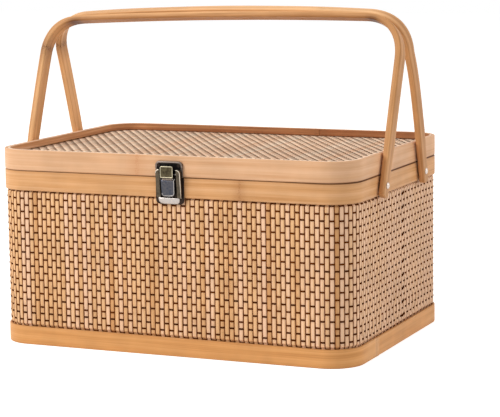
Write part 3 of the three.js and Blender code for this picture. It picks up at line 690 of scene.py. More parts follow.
# %% [markdown]
# ## Woven wall
# The wall is a mat of thin split splints that stand upright, crossed by dark, narrow wefts in
# plain weave: at each row every second splint passes behind the weft, and at the next row the
# others do. A splint's offset is therefore a cosine of its row number and a weft's the opposite,
# flattened so that it lies straight over a splint and dives in the narrow gap. A woven picture on
# a smooth wall would be lighter, but it would have no depth in side light and no rough outline.
# Near the base two rows go over the same splints. Each splint has bevelled sides, so that the mat
# is closed and only a groove shows between two splints. The rows and splints wander a little, and
# the rows climb on the right side, where the mat's ends meet. Behind the bands the mat is pressed
# in.

# %% Weave measures
SPLINT_COUNT = 254
SPLINT_PITCH = GIRTH / SPLINT_COUNT
SPLINT_W = 4.46 * mm
SPLINT_T = 0.8 * mm
FIRST_SPLINT = front_s(43.6 * mm)
ROW_START = 4.34 * mm
ROW_PITCH = 6.25 * mm
ROW_COUNT = 24
REPEATED_ROW = 5
WAVE = 0.13 * mm
WEFT_WAVE = 0.5 * mm
WEFT_H = 1.55 * mm
WEFT_T = 0.42 * mm
WEFT_FLATNESS = 3.6
MAT_INSET = 1.7 * mm
CLAMPED_INSET = 3.5 * mm
CLAMP_EASE = 2.4 * mm
MAT_SEAM = right_s(4 * mm)

# Rise of the rows at places along the plan, measured on the photographed sides
RISE_PLACES = np.array([0, 22, 70, 125, 165, 237, 400, 811, 1000, 1100]) * mm
RISE_HEIGHTS = np.array([-0.9, -1.2, -0.1, 1.3, 1.9, 1.2, 0, 0, 0, -0.3]) * mm


def row_wander(s, row):
    """Rise of a row at s: the measured rise plus slow waves that differ from row to row."""
    turn = 2 * math.pi * s / GIRTH
    slow = np.sin(5 * turn + 0.9 * row) * 0.16 + np.sin(11 * turn + 2.1 * row + 1) * 0.1
    return np.interp(np.mod(s, GIRTH), RISE_PLACES, RISE_HEIGHTS, period=GIRTH) + slow * mm


def row_height(s, row):
    """Height of a weft row at s."""
    return ROW_START + ROW_PITCH * row + row_wander(s, row)


def row_number(s, z):
    """The row number at height z, a fraction between rows: the inverse of row_height."""
    guess = (z - ROW_START) / ROW_PITCH
    return guess - row_wander(s, guess) / ROW_PITCH


def weave_phase(row):
    """Counts the changes of side up to a row: one for each row, but none between the repeated row
    and the row below it, which lie over the same splints."""
    return row + np.clip(REPEATED_ROW - row, 0, 1)


def splint_wander(number, z):
    """Sideways drift of a splint: slow bends along the height, different for each splint."""
    return (np.sin(z / (31 * mm) + 1.7 * number) * 0.05 + np.sin(z / (83 * mm) + 0.23 * number) * 0.16) * mm


def mat_inset(z):
    """How far in the mat's middle lies: swollen in the open, eased in to the clamps of the bands."""
    def eased(distance):
        t = np.clip(1 - distance / CLAMP_EASE, 0, 1)
        return t * t * (3 - 2 * t)
    pressed = np.maximum(eased(z - base_top - 0.2 * mm), eased(body_bottom - 0.2 * mm - z))
    return MAT_INSET + (CLAMPED_INSET - MAT_INSET) * pressed


# %% Splints
SPLINT_BOTTOM, SPLINT_TOP = 6 * mm, 150 * mm
SAMPLES_PER_ROW = 3
heights = np.arange(SPLINT_BOTTOM, SPLINT_TOP, ROW_PITCH / SAMPLES_PER_ROW)
clamp_steps = np.array([0.2, 0.8, 1.4, 2.0, 2.6]) * mm
heights = np.unique(np.concatenate([heights, base_top + clamp_steps, body_bottom - clamp_steps]))

# Cross-section of a splint as shares of its half width and half thickness: a slightly crowned
# outer face, sides that slope out to the full width, and a flat back with bevelled sides
SPLINT_ACROSS_SHARES = np.array([0.82, 0.71, 0.3, -0.3, -0.71, -0.82, -1.04, -0.86, 0.86, 1.04])
SPLINT_OUT_SHARES = np.array([0.35, 0.84, 1.0, 1.0, 0.84, 0.35, -0.4, -1.0, -1.0, -0.4])
# Painted shade at each point of the section: deep on the sloping sides and the bevels of the back, which lie
# in the grooves between splints, light on the back and none on the face
SPLINT_SHADE = np.array([0.85, 0.14, 0.0, 0.0, 0.14, 0.85, 1.0, 0.25, 0.25, 1.0])


def splint_points(numbers, z):
    """Splints by number: the section at each height is set out at
    s = first + pitch n + drift, out = -inset(z) + WAVE cos(pi (n + phase))."""
    n, height = numbers[:, None], z[None, :]
    s = FIRST_SPLINT + SPLINT_PITCH * n + splint_wander(n, height)
    dip = np.cos(math.pi * (n + weave_phase(row_number(s, height))))
    widths = SPLINT_W / 2 * (1 + 0.02 * np.sin(2.4 * numbers))[:, None, None]
    out = -mat_inset(height)[..., None] + WAVE * dip[..., None] + SPLINT_OUT_SHARES * SPLINT_T / 2
    points = around(s[..., None] + SPLINT_ACROSS_SHARES * widths, out, height[..., None])
    return points, splint_shade(dip)


def splint_shade(dip):
    """The painted shade of a section, in the grooves and a little deeper where the splint dips behind a weft.
    """
    return np.clip(SPLINT_SHADE + 0.12 * np.clip(-dip[..., None] - 0.2, 0, 1), 0, 1)


section_run = run_of(columns(SPLINT_ACROSS_SHARES * SPLINT_W / 2, SPLINT_OUT_SHARES * SPLINT_T / 2))
splint_numbers = np.arange(SPLINT_COUNT)
splint_tones = np.clip(rng.normal(0.42, 0.24, SPLINT_COUNT), 0, 1)
splint_shifts = rng.uniform(0, 3, SPLINT_COUNT)
middle_s = np.mod(FIRST_SPLINT + SPLINT_PITCH * splint_numbers, GIRTH)
on_right_side = (middle_s < piece_starts[1] + QUARTER) | (middle_s > GIRTH - QUARTER / 2)
# Painted light: on the right side the splints are paler and more even, for the side light that falls flat on
# the mat there and fills its grooves
splint_tones = np.where(on_right_side, 0.16 + 0.25 * (splint_tones - 0.42), splint_tones)
corner_middles = piece_starts[1::2] + QUARTER / 2
for number, side in enumerate(("right", "back", "left", "front")):
    low, high = corner_middles[number - 1], corner_middles[number]
    inside = np.mod(middle_s - low, GIRTH) < np.mod(high - low, GIRTH)
    chosen = splint_numbers[inside]
    points, painted_shade = splint_points(chosen, heights)
    made = strip_mesh(
        f"wall_splints_{side}", points, section_run, heights + splint_shifts[chosen][:, None],
        splint, splint_tones[chosen][:, None, None], painted_shade)
    hand_over(made, "woven_mat", "woven_wall")
    print(made.name, len(chosen), "splints,", len(made.data.polygons), "faces")

# %% Wefts
WEFT_SAMPLES = 8
weft_marks = FIRST_SPLINT + SPLINT_PITCH * np.arange(0, SPLINT_COUNT, 1 / WEFT_SAMPLES)
WEFT_SECTION = np.array([(0.5, -0.1), (0.4, 0.5), (-0.4, 0.5), (-0.5, -0.1), (0.0, -0.5)])


def squash(wave):
    """A cosine flattened towards a square wave: tanh(k c) / tanh(k)."""
    return np.tanh(WEFT_FLATNESS * wave) / math.tanh(WEFT_FLATNESS)


def weft_points(s, out, z, height):
    """The wefts' section carried along s, at given distances out and heights."""
    return around(s[..., None], out[..., None] + WEFT_SECTION[:, 1] * WEFT_T,
                  z[..., None] + WEFT_SECTION[:, 0] * height)


def weft_rows(rows, s):
    """Wefts by row: out = -inset(z) - WEFT_WAVE squash(cos(pi (n(s) + phase))), so that a weft
    lies straight over a splint and dives beside it."""
    row, place = rows[:, None], s[None, :]
    z = row_height(place, row)
    nearest = np.round((place - FIRST_SPLINT) / SPLINT_PITCH)
    number = (place - FIRST_SPLINT - splint_wander(nearest, z)) / SPLINT_PITCH
    out = -mat_inset(z) - WEFT_WAVE * squash(np.cos(math.pi * (number + weave_phase(row))))
    return weft_points(place, out, z, WEFT_H)


weft_run = run_of(WEFT_SECTION * (WEFT_H, WEFT_T))
along_weft = np.append(weft_marks, weft_marks[0] + GIRTH)
for title, rows in (("low", np.arange(1, ROW_COUNT // 2)), ("high", np.arange(ROW_COUNT // 2, ROW_COUNT))):
    tones = rng.uniform(0, 1, len(rows))
    shifts = rng.uniform(0, 3, (len(rows), 1))
    made = strip_mesh(f"wall_wefts_{title}", weft_rows(rows, weft_marks), weft_run, along_weft + shifts, weft,
                      tones[:, None, None], closed=True)
    hand_over(made, "woven_mat", "woven_wall")
    print(made.name, len(rows), "rows,", len(made.data.polygons), "faces")

# %% [markdown]
# ## Mat seam
# Where the mat's ends meet, the doubled weft of every second row lies in front of two splints
# and stands proud, which shows as a column of longer, thicker dark marks. The long wefts could be
# thickened there, but they keep one height all round, so each mark is a short weft of its own
# that lies over the long one.

# %% Mat seam
DOUBLED_H = 1.6 * WEFT_H
DOUBLED_OUT = 0.2 * mm
DOUBLED_LIFT = 0.62 * mm
DOUBLED_RISE = 0.6 * mm
DOUBLED_SAMPLES = 13
seam_number = round((MAT_SEAM - FIRST_SPLINT) / SPLINT_PITCH)
seam_rows = np.arange(2 + seam_number % 2, ROW_COUNT, 2)[:, None]
share = np.linspace(0, 1, DOUBLED_SAMPLES)
doubled_s = FIRST_SPLINT + SPLINT_PITCH * (seam_number + 0.5 + 1.5 * share)
doubled_z = row_height(doubled_s[None], seam_rows)
lift = DOUBLED_LIFT * np.sin(0.15 + (math.pi - 0.3) * share) ** 0.6
doubled = weft_points(doubled_s[None], -mat_inset(doubled_z) + DOUBLED_OUT + lift,
                      doubled_z + DOUBLED_RISE * (2 * share - 1), DOUBLED_H)
seam_wefts = strip_mesh("wall_seam_wefts", doubled, weft_run, doubled_s, weft, 1.0)
hand_over(seam_wefts, "woven_mat", "woven_wall")
print(seam_wefts.name, len(seam_rows), "doubled wefts")

# %% [markdown]
# ## Bands
# Each band is one bamboo strip that is steamed, bent round the plan and closed with a long scarf
# joint: its start thins out under its end, and the feathered end shows as a fine line. A ring
# that is extruded from the plan would have no such joint, so a section is carried along the plan
# for a little more than one turn. The section has rounded edges and a slight crown, and its edges
# wave a little.


# %% Bent bands
SCARF_T = 0.12 * mm
BAND_CROWN = 0.12 * mm

# Shares of the half height that the shaded edges and the top face take
SHADED_EDGE, TOP_FACE = 0.14, 0.07
BAND_T = {"base_band": 2.2 * mm, "body_band_outer": 2.2 * mm, "lid_band_outer": 2.2 * mm,
          "body_band_inner": 2.2 * mm, "lid_band_inner": 2.6 * mm, "lid_rim_inner": 2.6 * mm,
          "base_ledge": 6 * mm}
LEFT_MIDDLE = (piece_starts[4] + piece_starts[5]) / 2
BACK_MIDDLE = (piece_starts[2] + piece_starts[3]) / 2


def bent_band(name, node, material, start, lap=32 * mm, tone=0.5, shade=(0.35, 0.35), side_shade=(0, 0),
              top_tone=None, back_tone=0.0, lap_tone=0.14, slot="bamboo_band", radius=0.6 * mm):
    """A strip round the plan in the box of a CAD ring. Over the lap its first end grows from the
    inner face, and its last end thins towards the outer face:
    outer(t) = -T (1 - t / lap) at the start, inner(t) = -T (1 - (t - girth) / lap) at the end.
    shade darkens the lower and the upper edge, side_shade adds to it on the right side, top_tone
    is the tone of the top face, back_tone deepens the back and lightens the front, and lap_tone
    is added on the lap's outer end."""
    low, high = box(node)
    inset, height, thickness = half_length - high[0], high[2] - low[2], BAND_T[node]
    s = stations(start, start + GIRTH + lap)
    t = s - start
    section = rounded_section(height, thickness, radius, crown=BAND_CROWN)
    ending = np.clip((t - GIRTH) / lap, 0, 1)
    outer = -(thickness - SCARF_T) * np.clip(1 - t / lap, 0, 1) + SCARF_T * ending
    inner = -thickness + (thickness - SCARF_T) * ending
    share = section[:, 1] / thickness + 0.5
    out = -inset + inner[:, None] + (outer - inner)[:, None] * share
    ripple = np.sin(s / (61 * mm) + start) * 0.6 + np.sin(s / (23 * mm)) * 0.4
    reach = section[:, 0] / height
    lift = 0.18 * mm * ripple[:, None] * reach
    points = around(s[:, None], out, (low[2] + high[2]) / 2 + section[:, 0] + lift)[None]
    on_right = np.clip((np.cos(2 * math.pi * (s - right_s(0)) / GIRTH) - 0.55) / 0.3, 0, 1)
    depth = [shade[n] + side_shade[n] * on_right[:, None] for n in (0, 1)]
    # Painted shade along the lower and the upper edge of the band, where shade falls in the narrow gaps
    # beside it
    near_edge = np.clip(np.abs(reach) * 2 - (1 - SHADED_EDGE), 0, SHADED_EDGE) / SHADED_EDGE
    painted_shade = np.where(reach > 0, depth[1], depth[0]) * near_edge
    tones = tone + lap_tone * np.clip((t - GIRTH) / lap, 0, 0.2)[:, None] * 5
    tones = tones + back_tone * np.cos(2 * math.pi * (s - BACK_MIDDLE) / GIRTH)[:, None]
    if top_tone is not None:
        tones = tones + (top_tone - tone) * np.clip(reach * 2 - (1 - TOP_FACE), 0, TOP_FACE) / TOP_FACE
    made = strip_mesh(name, points, run_of(section), s, material, tones[None], painted_shade[None])
    hand_over(made, slot, node)
    print(name, "inset", round(inset / mm, 1), "thickness", round(thickness / mm, 1),
          len(made.data.polygons), "faces")


bent_band("base_band_strip", "base_band", band_base, right_s(-90 * mm), lap=35 * mm, lap_tone=-0.35)
bent_band("body_band_strip", "body_band_outer", band_body, LEFT_MIDDLE, tone=0.45,
          shade=(0.35, 0.3), side_shade=(0, 0.6))
bent_band("lid_band_strip", "lid_band_outer", band_lid, LEFT_MIDDLE + 30 * mm, tone=0.4,
          shade=(0.3, 0), side_shade=(0.6, 0))
bent_band("body_band_lining", "body_band_inner", band_body, BACK_MIDDLE, tone=0.7)
bent_band("lid_band_lining", "lid_band_inner", band_lid, BACK_MIDDLE + 40 * mm, tone=0.7)
bent_band("lid_rim_lining", "lid_rim_inner", rim_wood, BACK_MIDDLE - 50 * mm, tone=0.6,
          shade=(0.8, 0), top_tone=0.0, back_tone=0.3)
bent_band("base_ledge_strip", "base_ledge", board_wood, BACK_MIDDLE, lap=40 * mm, tone=0.6,
          slot="base_wood", radius=0.8 * mm)

# %% [markdown]
# ## Woven lid panel
# The panel is the same weave laid flat, with its splints from front to back. It is cut to the
# plan and clamped between the lid's two linings. The wall's sections serve again, and only the
# paths differ: each strip is as long as the rounded plan is wide where it lies.

# %% Lid weave
PANEL_PITCH = 4.52 * mm
PANEL_ROW_PITCH = 6.52 * mm
PANEL_ROW_START = -3.07 * mm
PANEL_WAVE = 0.1 * mm
PANEL_WEFT_WAVE = 0.45 * mm
PANEL_WEFT_H = 0.95 * mm
PANEL_EDGE_INSET = 2.9 * mm
panel_z = heights_of("lid_panel_woven")[1] - SPLINT_T / 2
PANEL_HALF = core + CORNER_R - PANEL_EDGE_INSET


def panel_reach(along, half_along, half_across):
    """Half length of a strip that is cut to the rounded plan, at its distance from the middle:
    h - r + sqrt(r^2 - (|a| - A + r)^2) inside the corners' reach, and h elsewhere."""
    radius = CORNER_R - PANEL_EDGE_INSET
    over = np.clip(np.abs(along) - half_along + radius, 0, radius * 0.999)
    return half_across - radius + np.sqrt(radius ** 2 - over ** 2)


def panel_sag(x, y):
    """The stretched panel sags by a fraction of a millimetre in the middle."""
    return -0.3 * mm * (1 - (x / PANEL_HALF[0]) ** 2) * (1 - (y / PANEL_HALF[1]) ** 2)


column_limit = int((PANEL_HALF[0] - SPLINT_W / 2) / PANEL_PITCH)
panel_columns = np.arange(-column_limit, column_limit + 1)
row_limit = int((PANEL_HALF[1] - WEFT_H) / PANEL_ROW_PITCH)
panel_rows = np.arange(-row_limit, row_limit + 1)
y_samples = np.arange(-1, 1.0001, 2 / (6 * len(panel_rows) // 2))
x_samples = np.arange(-1, 1.0001, 2 / (WEFT_SAMPLES * len(panel_columns)))

# %% Lid splints
for title, chosen in (("left", panel_columns[panel_columns < 0]),
                      ("right", panel_columns[panel_columns >= 0])):
    n = chosen[:, None].astype(float)
    x = PANEL_PITCH * n
    y = y_samples[None, :] * panel_reach(x, PANEL_HALF[0], PANEL_HALF[1])
    drift = np.sin(y / (47 * mm) + 1.3 * n) * 0.06 * mm + np.sin(y / (90 * mm)) * 0.3 * mm
    dip = np.cos(math.pi * (n + (y - PANEL_ROW_START) / PANEL_ROW_PITCH))
    z = panel_z + panel_sag(x, y) + PANEL_WAVE * dip
    grid = columns((x + drift)[..., None] + SPLINT_ACROSS_SHARES * SPLINT_W / 2, y[..., None],
                   z[..., None] + SPLINT_OUT_SHARES * SPLINT_T / 2)
    tones = np.clip(rng.normal(0.3, 0.22, len(chosen)), 0, 1)
    shifts = rng.uniform(0, 3, (len(chosen), 1))
    made = strip_mesh(f"lid_splints_{title}", grid, section_run, y + shifts, panel_splint,
                      tones[:, None, None], splint_shade(dip))
    hand_over(made, "woven_mat", "lid_panel_woven")
    print(made.name, len(chosen), "splints,", len(made.data.polygons), "faces")

# %% Lid wefts
n = panel_rows[:, None].astype(float)
y = PANEL_ROW_START + PANEL_ROW_PITCH * n
x = x_samples[None, :] * panel_reach(y, PANEL_HALF[1], PANEL_HALF[0])
bow = np.sin(x / (70 * mm) + 0.8 * n) * 0.2 * mm
z = panel_z + panel_sag(x, y) - PANEL_WEFT_WAVE * squash(np.cos(math.pi * (x / PANEL_PITCH + n)))
grid = columns(x[..., None], (y + bow)[..., None] + WEFT_SECTION[:, 0] * PANEL_WEFT_H,
               z[..., None] + WEFT_SECTION[:, 1] * WEFT_T)
shifts = rng.uniform(0, 3, (len(panel_rows), 1))
tones = rng.uniform(0, 1, len(panel_rows))
made = strip_mesh("lid_wefts", grid, weft_run, x + shifts, panel_weft, tones[:, None, None])
hand_over(made, "woven_mat", "lid_panel_woven")
print(made.name, len(panel_rows), "rows,", len(made.data.polygons), "faces")


# %% [markdown]
# ## Slats and base board
# Flat slats under the lid and the base stiffen the mat. They are straight strips, and a box with
# a bevel would nearly do, but a split slat is never quite straight, so a section is carried along
# a slightly bowed line and drawn in at its ends. The base board is laid from seven narrow bamboo
# boards with small grooves between them, cut to the plan.


# %% Slats
def straight_slat(name, node, slot, material, tone):
    """A strip along Y in a CAD node's box, its ends rounded over the last millimetre."""
    low, high = box(node)
    middle, size = (low + high) / 2, high - low
    section = rounded_section(size[0], size[2], 0.7 * mm)
    round_off = 1.2 * mm
    t = np.concatenate([np.linspace(0, round_off, 5), np.linspace(6 * mm, size[1] - 6 * mm, 24),
                        size[1] - np.linspace(round_off, 0, 5)])
    nearest = np.minimum(t, size[1] - t)
    shrink = 0.72 + 0.28 * np.sqrt(np.clip(1 - (1 - np.clip(nearest / round_off, 0, 1)) ** 2, 0, 1))
    across = section[:, 0] * (1 - (1 - shrink[:, None]) * 0.25)
    up = section[:, 1] * shrink[:, None]
    bow = 0.15 * mm * np.sin(t / (40 * mm))
    points = columns(middle[0] + across + bow[:, None], low[1] + t[:, None], middle[2] + up)[None]
    hand_over(strip_mesh(name, points, run_of(section), t + 10 * middle[0], material, tone), slot, node)


for side, tone in (("left", 0.35), ("middle", 0.6), ("right", 0.5)):
    straight_slat(f"base_slat_{side}_strip", f"base_slat_{side}", "base_wood", board_wood, tone)
for side, tone in (("left", 0.5), ("right", 0.3)):
    straight_slat(f"lid_slat_{side}_strip", f"lid_slat_{side}", "bamboo_band", band_body, tone)

# %% Base board
board_low, board_high = box("base_board")
PLANKS = 7
PLANK_GROOVE = 0.3 * mm
plank_w = (board_high[1] - board_low[1]) / PLANKS
board_inset = half_length - board_high[0]
board_half = core + CORNER_R - board_inset
board_r = CORNER_R - board_inset
plank_solids = []
for plank in range(PLANKS):
    across = board_low[1] + plank_w * plank + np.linspace(PLANK_GROOVE / 2, plank_w - PLANK_GROOVE / 2, 9)
    over = np.clip(np.abs(across) - board_half[1] + board_r, 0, board_r)
    reach = board_half[0] - board_r + np.sqrt(np.maximum(board_r ** 2 - over ** 2, (1 * mm) ** 2))
    outline = np.concatenate([columns(reach, across), columns(-reach, across)[::-1]])
    plank_solids.append(extruded(outline, board_low[2], board_high[2], columns))
board = solid_mesh("base_board_planks", plank_solids, board_wood, 0.35 * mm)
hand_over(board, "base_wood", "base_board")
corners = np.empty(len(board.data.loops), int)
board.data.loops.foreach_get("vertex_index", corners)
places = np.array([v.co for v in board.data.vertices])
x, y, z = places[corners].T
board.data.uv_layers.new(name="UV").data.foreach_set("uv", columns(y + z, x).ravel())
board_tones = 0.5 + 0.35 * np.sin(2.3 * np.floor((places[:, 1] - board_low[1]) / plank_w))
board.data.attributes.new("tone", "FLOAT", "POINT").data.foreach_set("value", board_tones)
print(board.name, PLANKS, "boards", round(plank_w / mm, 1), "mm wide")

# %% [markdown]
# ## Handles
# Each handle is one thick bamboo strip, planed flat, steamed and bent to a U with two round
# bends and a nearly straight bar. The two lean together and their bars meet over the lid. A curve
# with a bevel would give even, regular loops. Bent bamboo isn't regular, so the path is worked
# out first and then pushed to the photographed line: the bars hang a little lower at the left,
# the right bends are tighter, the back handle sways to the left, and the legs are thicker than at
# their rivets. The skin, the cut sides and the inner face have tones of their own, and these also
# hold painted shade: the faces that turn down or away from the light are deeper, and the inner
# face is darkened where the bar turns into the bends.

# %% Handle measures and path
pivot = box("handle_rivet_front_left").mean(0)
pivot_y, pivot_z = -pivot[1], pivot[2]
HANDLE_W = 12.2 * mm
HANDLE_T = 5.3 * mm
HANDLE_REACH = 154.4 * mm
HANDLE_BEND_R = 37.5 * mm
HANDLE_BAR_R = 4350 * mm
HANDLE_TAIL = 10.5 * mm
HANDLE_TAIL_R = 3 * mm
HANDLE_EDGE_R = 1.0 * mm
LEG_EXTRA_W = 1.4 * mm
LEG_EXTRA_T = 0.5 * mm
LEG_FADE_START, LEG_FADE = 15 * mm, 25 * mm
RIGHT_BEND_OUT = 1.9 * mm
leg_x = box("handle_front")[1][0] - HANDLE_T / 2
bend_x = leg_x - HANDLE_BEND_R
bar_centre = HANDLE_REACH - HANDLE_BAR_R
bend_z = bar_centre + math.sqrt((HANDLE_BAR_R - HANDLE_BEND_R) ** 2 - bend_x ** 2)
bend_turn = math.atan2(bend_z - bar_centre, bend_x)


def handle_path():
    """Centre line and normal in the plane (x, up): a leg, a round bend, the bar's large arc, and
    the same again mirrored, with the distance run along it."""
    tail = np.linspace(0, HANDLE_TAIL_R, 6)[:-1]
    leg = -HANDLE_TAIL + np.concatenate([tail, np.linspace(HANDLE_TAIL_R, HANDLE_TAIL + bend_z, 22)[:-1]])
    turn = np.linspace(0, bend_turn, 17)[:-1]
    bar = np.linspace(bend_turn, math.pi / 2, 14)
    half = np.concatenate([columns(leg_x, leg), (bend_x, bend_z) + arc(turn, HANDLE_BEND_R),
                           (0, bar_centre) + arc(bar, HANDLE_BAR_R)])
    normals = arc(np.concatenate([np.zeros(len(leg)), turn, bar]))
    points = np.concatenate([half, half[-2::-1] * (-1, 1)])
    normals = np.concatenate([normals, normals[-2::-1] * (-1, 1)])
    run = np.concatenate([[0], np.cumsum(np.linalg.norm(np.diff(points, axis=0), axis=1))])
    return points, normals, run


def bent_line(sway, lift):
    """The path pushed to the photographed line, and the shares of bar and leg along it: the right
    bend moves out along its normals, the bar is lifted by a quadratic of x, and the loop sways by
    sway (z / bend height)^p, where p is 5 on the side that it leaves and 2 on the other."""
    path, normals, run = handle_path()
    bend = np.arctan2(normals[:, 1], np.abs(normals[:, 0]))
    bar_share = np.sin(bend) ** 6
    leg_share = np.clip((path[:, 1] - LEG_FADE_START) / LEG_FADE, 0, 1) * (1 - bar_share)
    path = path + normals * (RIGHT_BEND_OUT * np.sin(2 * bend) ** 2 * (path[:, 0] > 0))[:, None]
    straight_x = path[:, 0]
    z = path[:, 1] + np.polyval(lift[::-1], straight_x / mm) * mm * bar_share
    power = np.where(straight_x * sway > 0, 5.0, 2.0)
    x = straight_x - sway * np.clip(z / bend_z, 0, 1) ** power
    return columns(x, z), normals, run, straight_x, bar_share, leg_share


def lean_of(end, sign):
    """Lean of a handle, read from its CAD box: the farthest point of the tail's lower edge."""
    reach = HANDLE_REACH + HANDLE_T / 2
    inner = box(f"handle_{end}")[1][1] if sign < 0 else -box(f"handle_{end}")[0][1]
    distance = pivot_y + inner
    return math.asin(distance / math.hypot(reach, HANDLE_W / 2)) - math.atan2(HANDLE_W / 2, reach)


# %% Handle section and tones
section = rounded_section(HANDLE_W, HANDLE_T, HANDLE_EDGE_R, crown=0.15 * mm)
skin, inside_face = (np.clip((side * section[:, 1] - HANDLE_T / 2) / (0.4 * mm) + 1.75, 0, 1)
                     for side in (1, -1))
cut_side = 1 - skin - inside_face
outer_half = section[:, 1] > 0

# Tones of the faces on the bar, on the left leg and on the right leg. Besides the faces' own
# colours they hold painted shade: the bar's inner face and the inner half of its cut sides are
# deep where they face down, and each leg's faces are toned to how the light falls on its side
SKIN_TONE_AND_SHADE, INSIDE_TONE_AND_SHADE = (0.2, 0.1, 0.65), (0.9, 0.25, 0.6)
SIDE_TONE_AND_SHADE = np.where(outer_half, [[0.3], [0.45], [0.45]], [[1.0], [0.35], [0.6]])

# Painted shade on the inner face where the bar turns into the bends: place and reach in x
BEND_SHADE_PLACES = ((-152 * mm, 9 * mm), (152 * mm, 7 * mm))


def swept_section(run, leg_share, phase):
    """The section all along the strip: its ends rounded off, the legs wider, and thicker outwards,
    with slow waves in its edges."""
    inside = np.clip(HANDLE_TAIL_R - np.minimum(run, run[-1] - run), 0, HANDLE_TAIL_R)
    narrowing = HANDLE_TAIL_R - np.sqrt(HANDLE_TAIL_R ** 2 - inside ** 2)
    width_share = 1 - 2 * narrowing / HANDLE_W * 0.98 + LEG_EXTRA_W / HANDLE_W * leg_share
    thickness_share = 1 + LEG_EXTRA_T / HANDLE_T * leg_share
    wave = 0.12 * mm * np.sin(run / (37 * mm) + phase) + 0.1 * mm * np.sin(run / (16 * mm))
    across = section[:, 0] * width_share[:, None] + wave[:, None] * 0.6
    outward = section[:, 1] / HANDLE_T + 0.5
    return across, section[:, 1] + outward * ((thickness_share - 1) * HANDLE_T + wave * 0.5)[:, None]


def handle_tones(run, x, bar_share, phase):
    """The tone is the faces' tones, with their painted shade, by their shares in bar and legs, with a
    slow wave along the strip, and the painted shade is 0.85 exp(-((x - place) / reach)^2) on the
    inner face and beside it, where the bar turns into the bends."""
    shares = columns(bar_share, (1 - bar_share) * (x < 0), (1 - bar_share) * (x > 0))
    tone = np.outer(shares @ SKIN_TONE_AND_SHADE, skin) + np.outer(shares @ INSIDE_TONE_AND_SHADE, inside_face)
    tone = tone + shares @ SIDE_TONE_AND_SHADE * cut_side + 0.08 * np.sin(run / (60 * mm) + phase)[:, None]
    bend_shade = sum(0.85 * np.exp(-((x - place) / reach) ** 2) for place, reach in BEND_SHADE_PLACES)
    painted_shade = bend_shade[:, None] * (np.where(outer_half, 0.1, 0.7) * cut_side + inside_face)
    return np.clip(tone, 0, 1), painted_shade


# %% Handles
# Side of the basket, sway towards -X at the top, and the bar's lift in millimetres as the
# coefficients of 1, x and x^2 with x in millimetres
HANDLE_SHAPES = {"front": (-1, -0.7 * mm, (-0.84, 0.0164, 0.0)),
                 "back": (1, 3.0 * mm, (0.32, 0.0138, -7.8e-5))}
for end, (sign, sway, lift) in HANDLE_SHAPES.items():
    path, normals, run, straight_x, bar_share, leg_share = bent_line(sway, lift)
    across, out = swept_section(run, leg_share, sign)
    x, up = (path[:, n, None] + normals[:, n, None] * out for n in (0, 1))
    tone, painted_shade = handle_tones(run, straight_x, bar_share, sign)
    lean = sign * lean_of(end, sign)
    y = sign * pivot_y + across * math.cos(lean) - up * math.sin(lean)
    z = pivot_z + across * math.sin(lean) + up * math.cos(lean)
    made = strip_mesh(f"handle_{end}_strip", columns(x, y, z)[None], run_of(section), run + 0.3 * (sign + 1),
                      handle_wood, tone[None], painted_shade[None])
    hand_over(made, "handles", f"handle_{end}")
    print(made.name, "lean", round(math.degrees(lean), 2), "faces", len(made.data.polygons))


# %% [markdown]
# ## Rivets
# Each leg turns on a rivet: a domed head outside, a spacer washer between leg and band, and a
# burr with a clinched tail inside the wall. They are round, so each is one profile turned about
# the rivet's axis, from its tail to its head, which leaves no seam where head and shank meet.

# %% Rivets, spacers and burrs
RIVET_R = 2 * mm
HEAD_H, HEAD_R = 1.5 * mm, 3 * mm


def ring_profile(inner, outer, low, high, ease):
    """Closed ring profile (radius, height) with its outer edges eased."""
    return [(inner, low), (outer - ease, low), (outer, low + ease), (outer, high - ease),
            (outer - ease, high), (inner, high)]


def rivet_profile(tail, head):
    """Profile (radius, height) from the clinched tail to the top of the domed head."""
    clinch = [(0, 0), (1.7, 0), (2.6, 0.3), (3.2, 1.0), (3.1, 1.2)]
    profile = [(radius * mm, tail + height * mm) for radius, height in clinch]
    profile += [(RIVET_R, tail + 1.2 * mm), (RIVET_R, head - HEAD_H), (HEAD_R - 0.1 * mm, head - HEAD_H)]
    rise = np.linspace(0, math.pi / 2, 8)[:-1]
    dome = [(HEAD_R * math.cos(a), head - HEAD_H + HEAD_H * math.sin(a)) for a in rise]
    return profile + dome + [(0, head)]


for side, s in (("left", -1), ("right", 1)):
    for end in ("front", "back"):
        name = f"{end}_{side}"
        middle = box(f"handle_rivet_{name}").mean(0)

        def place(a, b, c, s=s, middle=middle):
            return columns(s * (half_length + c), middle[1] + a, middle[2] + b)

        def outwards(node):
            """How far out of the band's face a node starts and ends."""
            return sorted(abs(x) - half_length for x in box(node)[:, 0])

        rivet = turned_solid(rivet_profile(*outwards(f"handle_rivet_{name}")), place)
        hand_over(solid_mesh(f"rivet_{name}", [rivet], nickel), "rivets", f"handle_rivet_{name}")
        for title, node in (("spacer", f"handle_spacer_{name}"), ("burr", f"rivet_burr_{name}")):
            low, high = box(node)
            profile = ring_profile(RIVET_R + 0.3 * mm, (high[1] - low[1]) / 2, *outwards(node), 0.15 * mm)
            ring = solid_mesh(f"{title}_{name}", [ring_solid(profile, place)], bronze_dark)
            hand_over(ring, "rivets", node)
print("rivets at y", round(pivot_y / mm, 1), "z", round(pivot_z / mm, 1))


# %% [markdown]
# ## Screws
# Small countersunk screws hold the hinges and the latch. The head is a low dome cut by a slot. A
# boolean could cut it, but it often leaves thin faces, so the head is a disc with two raised
# halves on it.

# %% Screw heads
SCREW_HEAD_H, SHANK_R = 0.8 * mm, 0.9 * mm
SLOT_HALF, SLOT_FLOOR = 0.28 * mm, 0.42 * mm


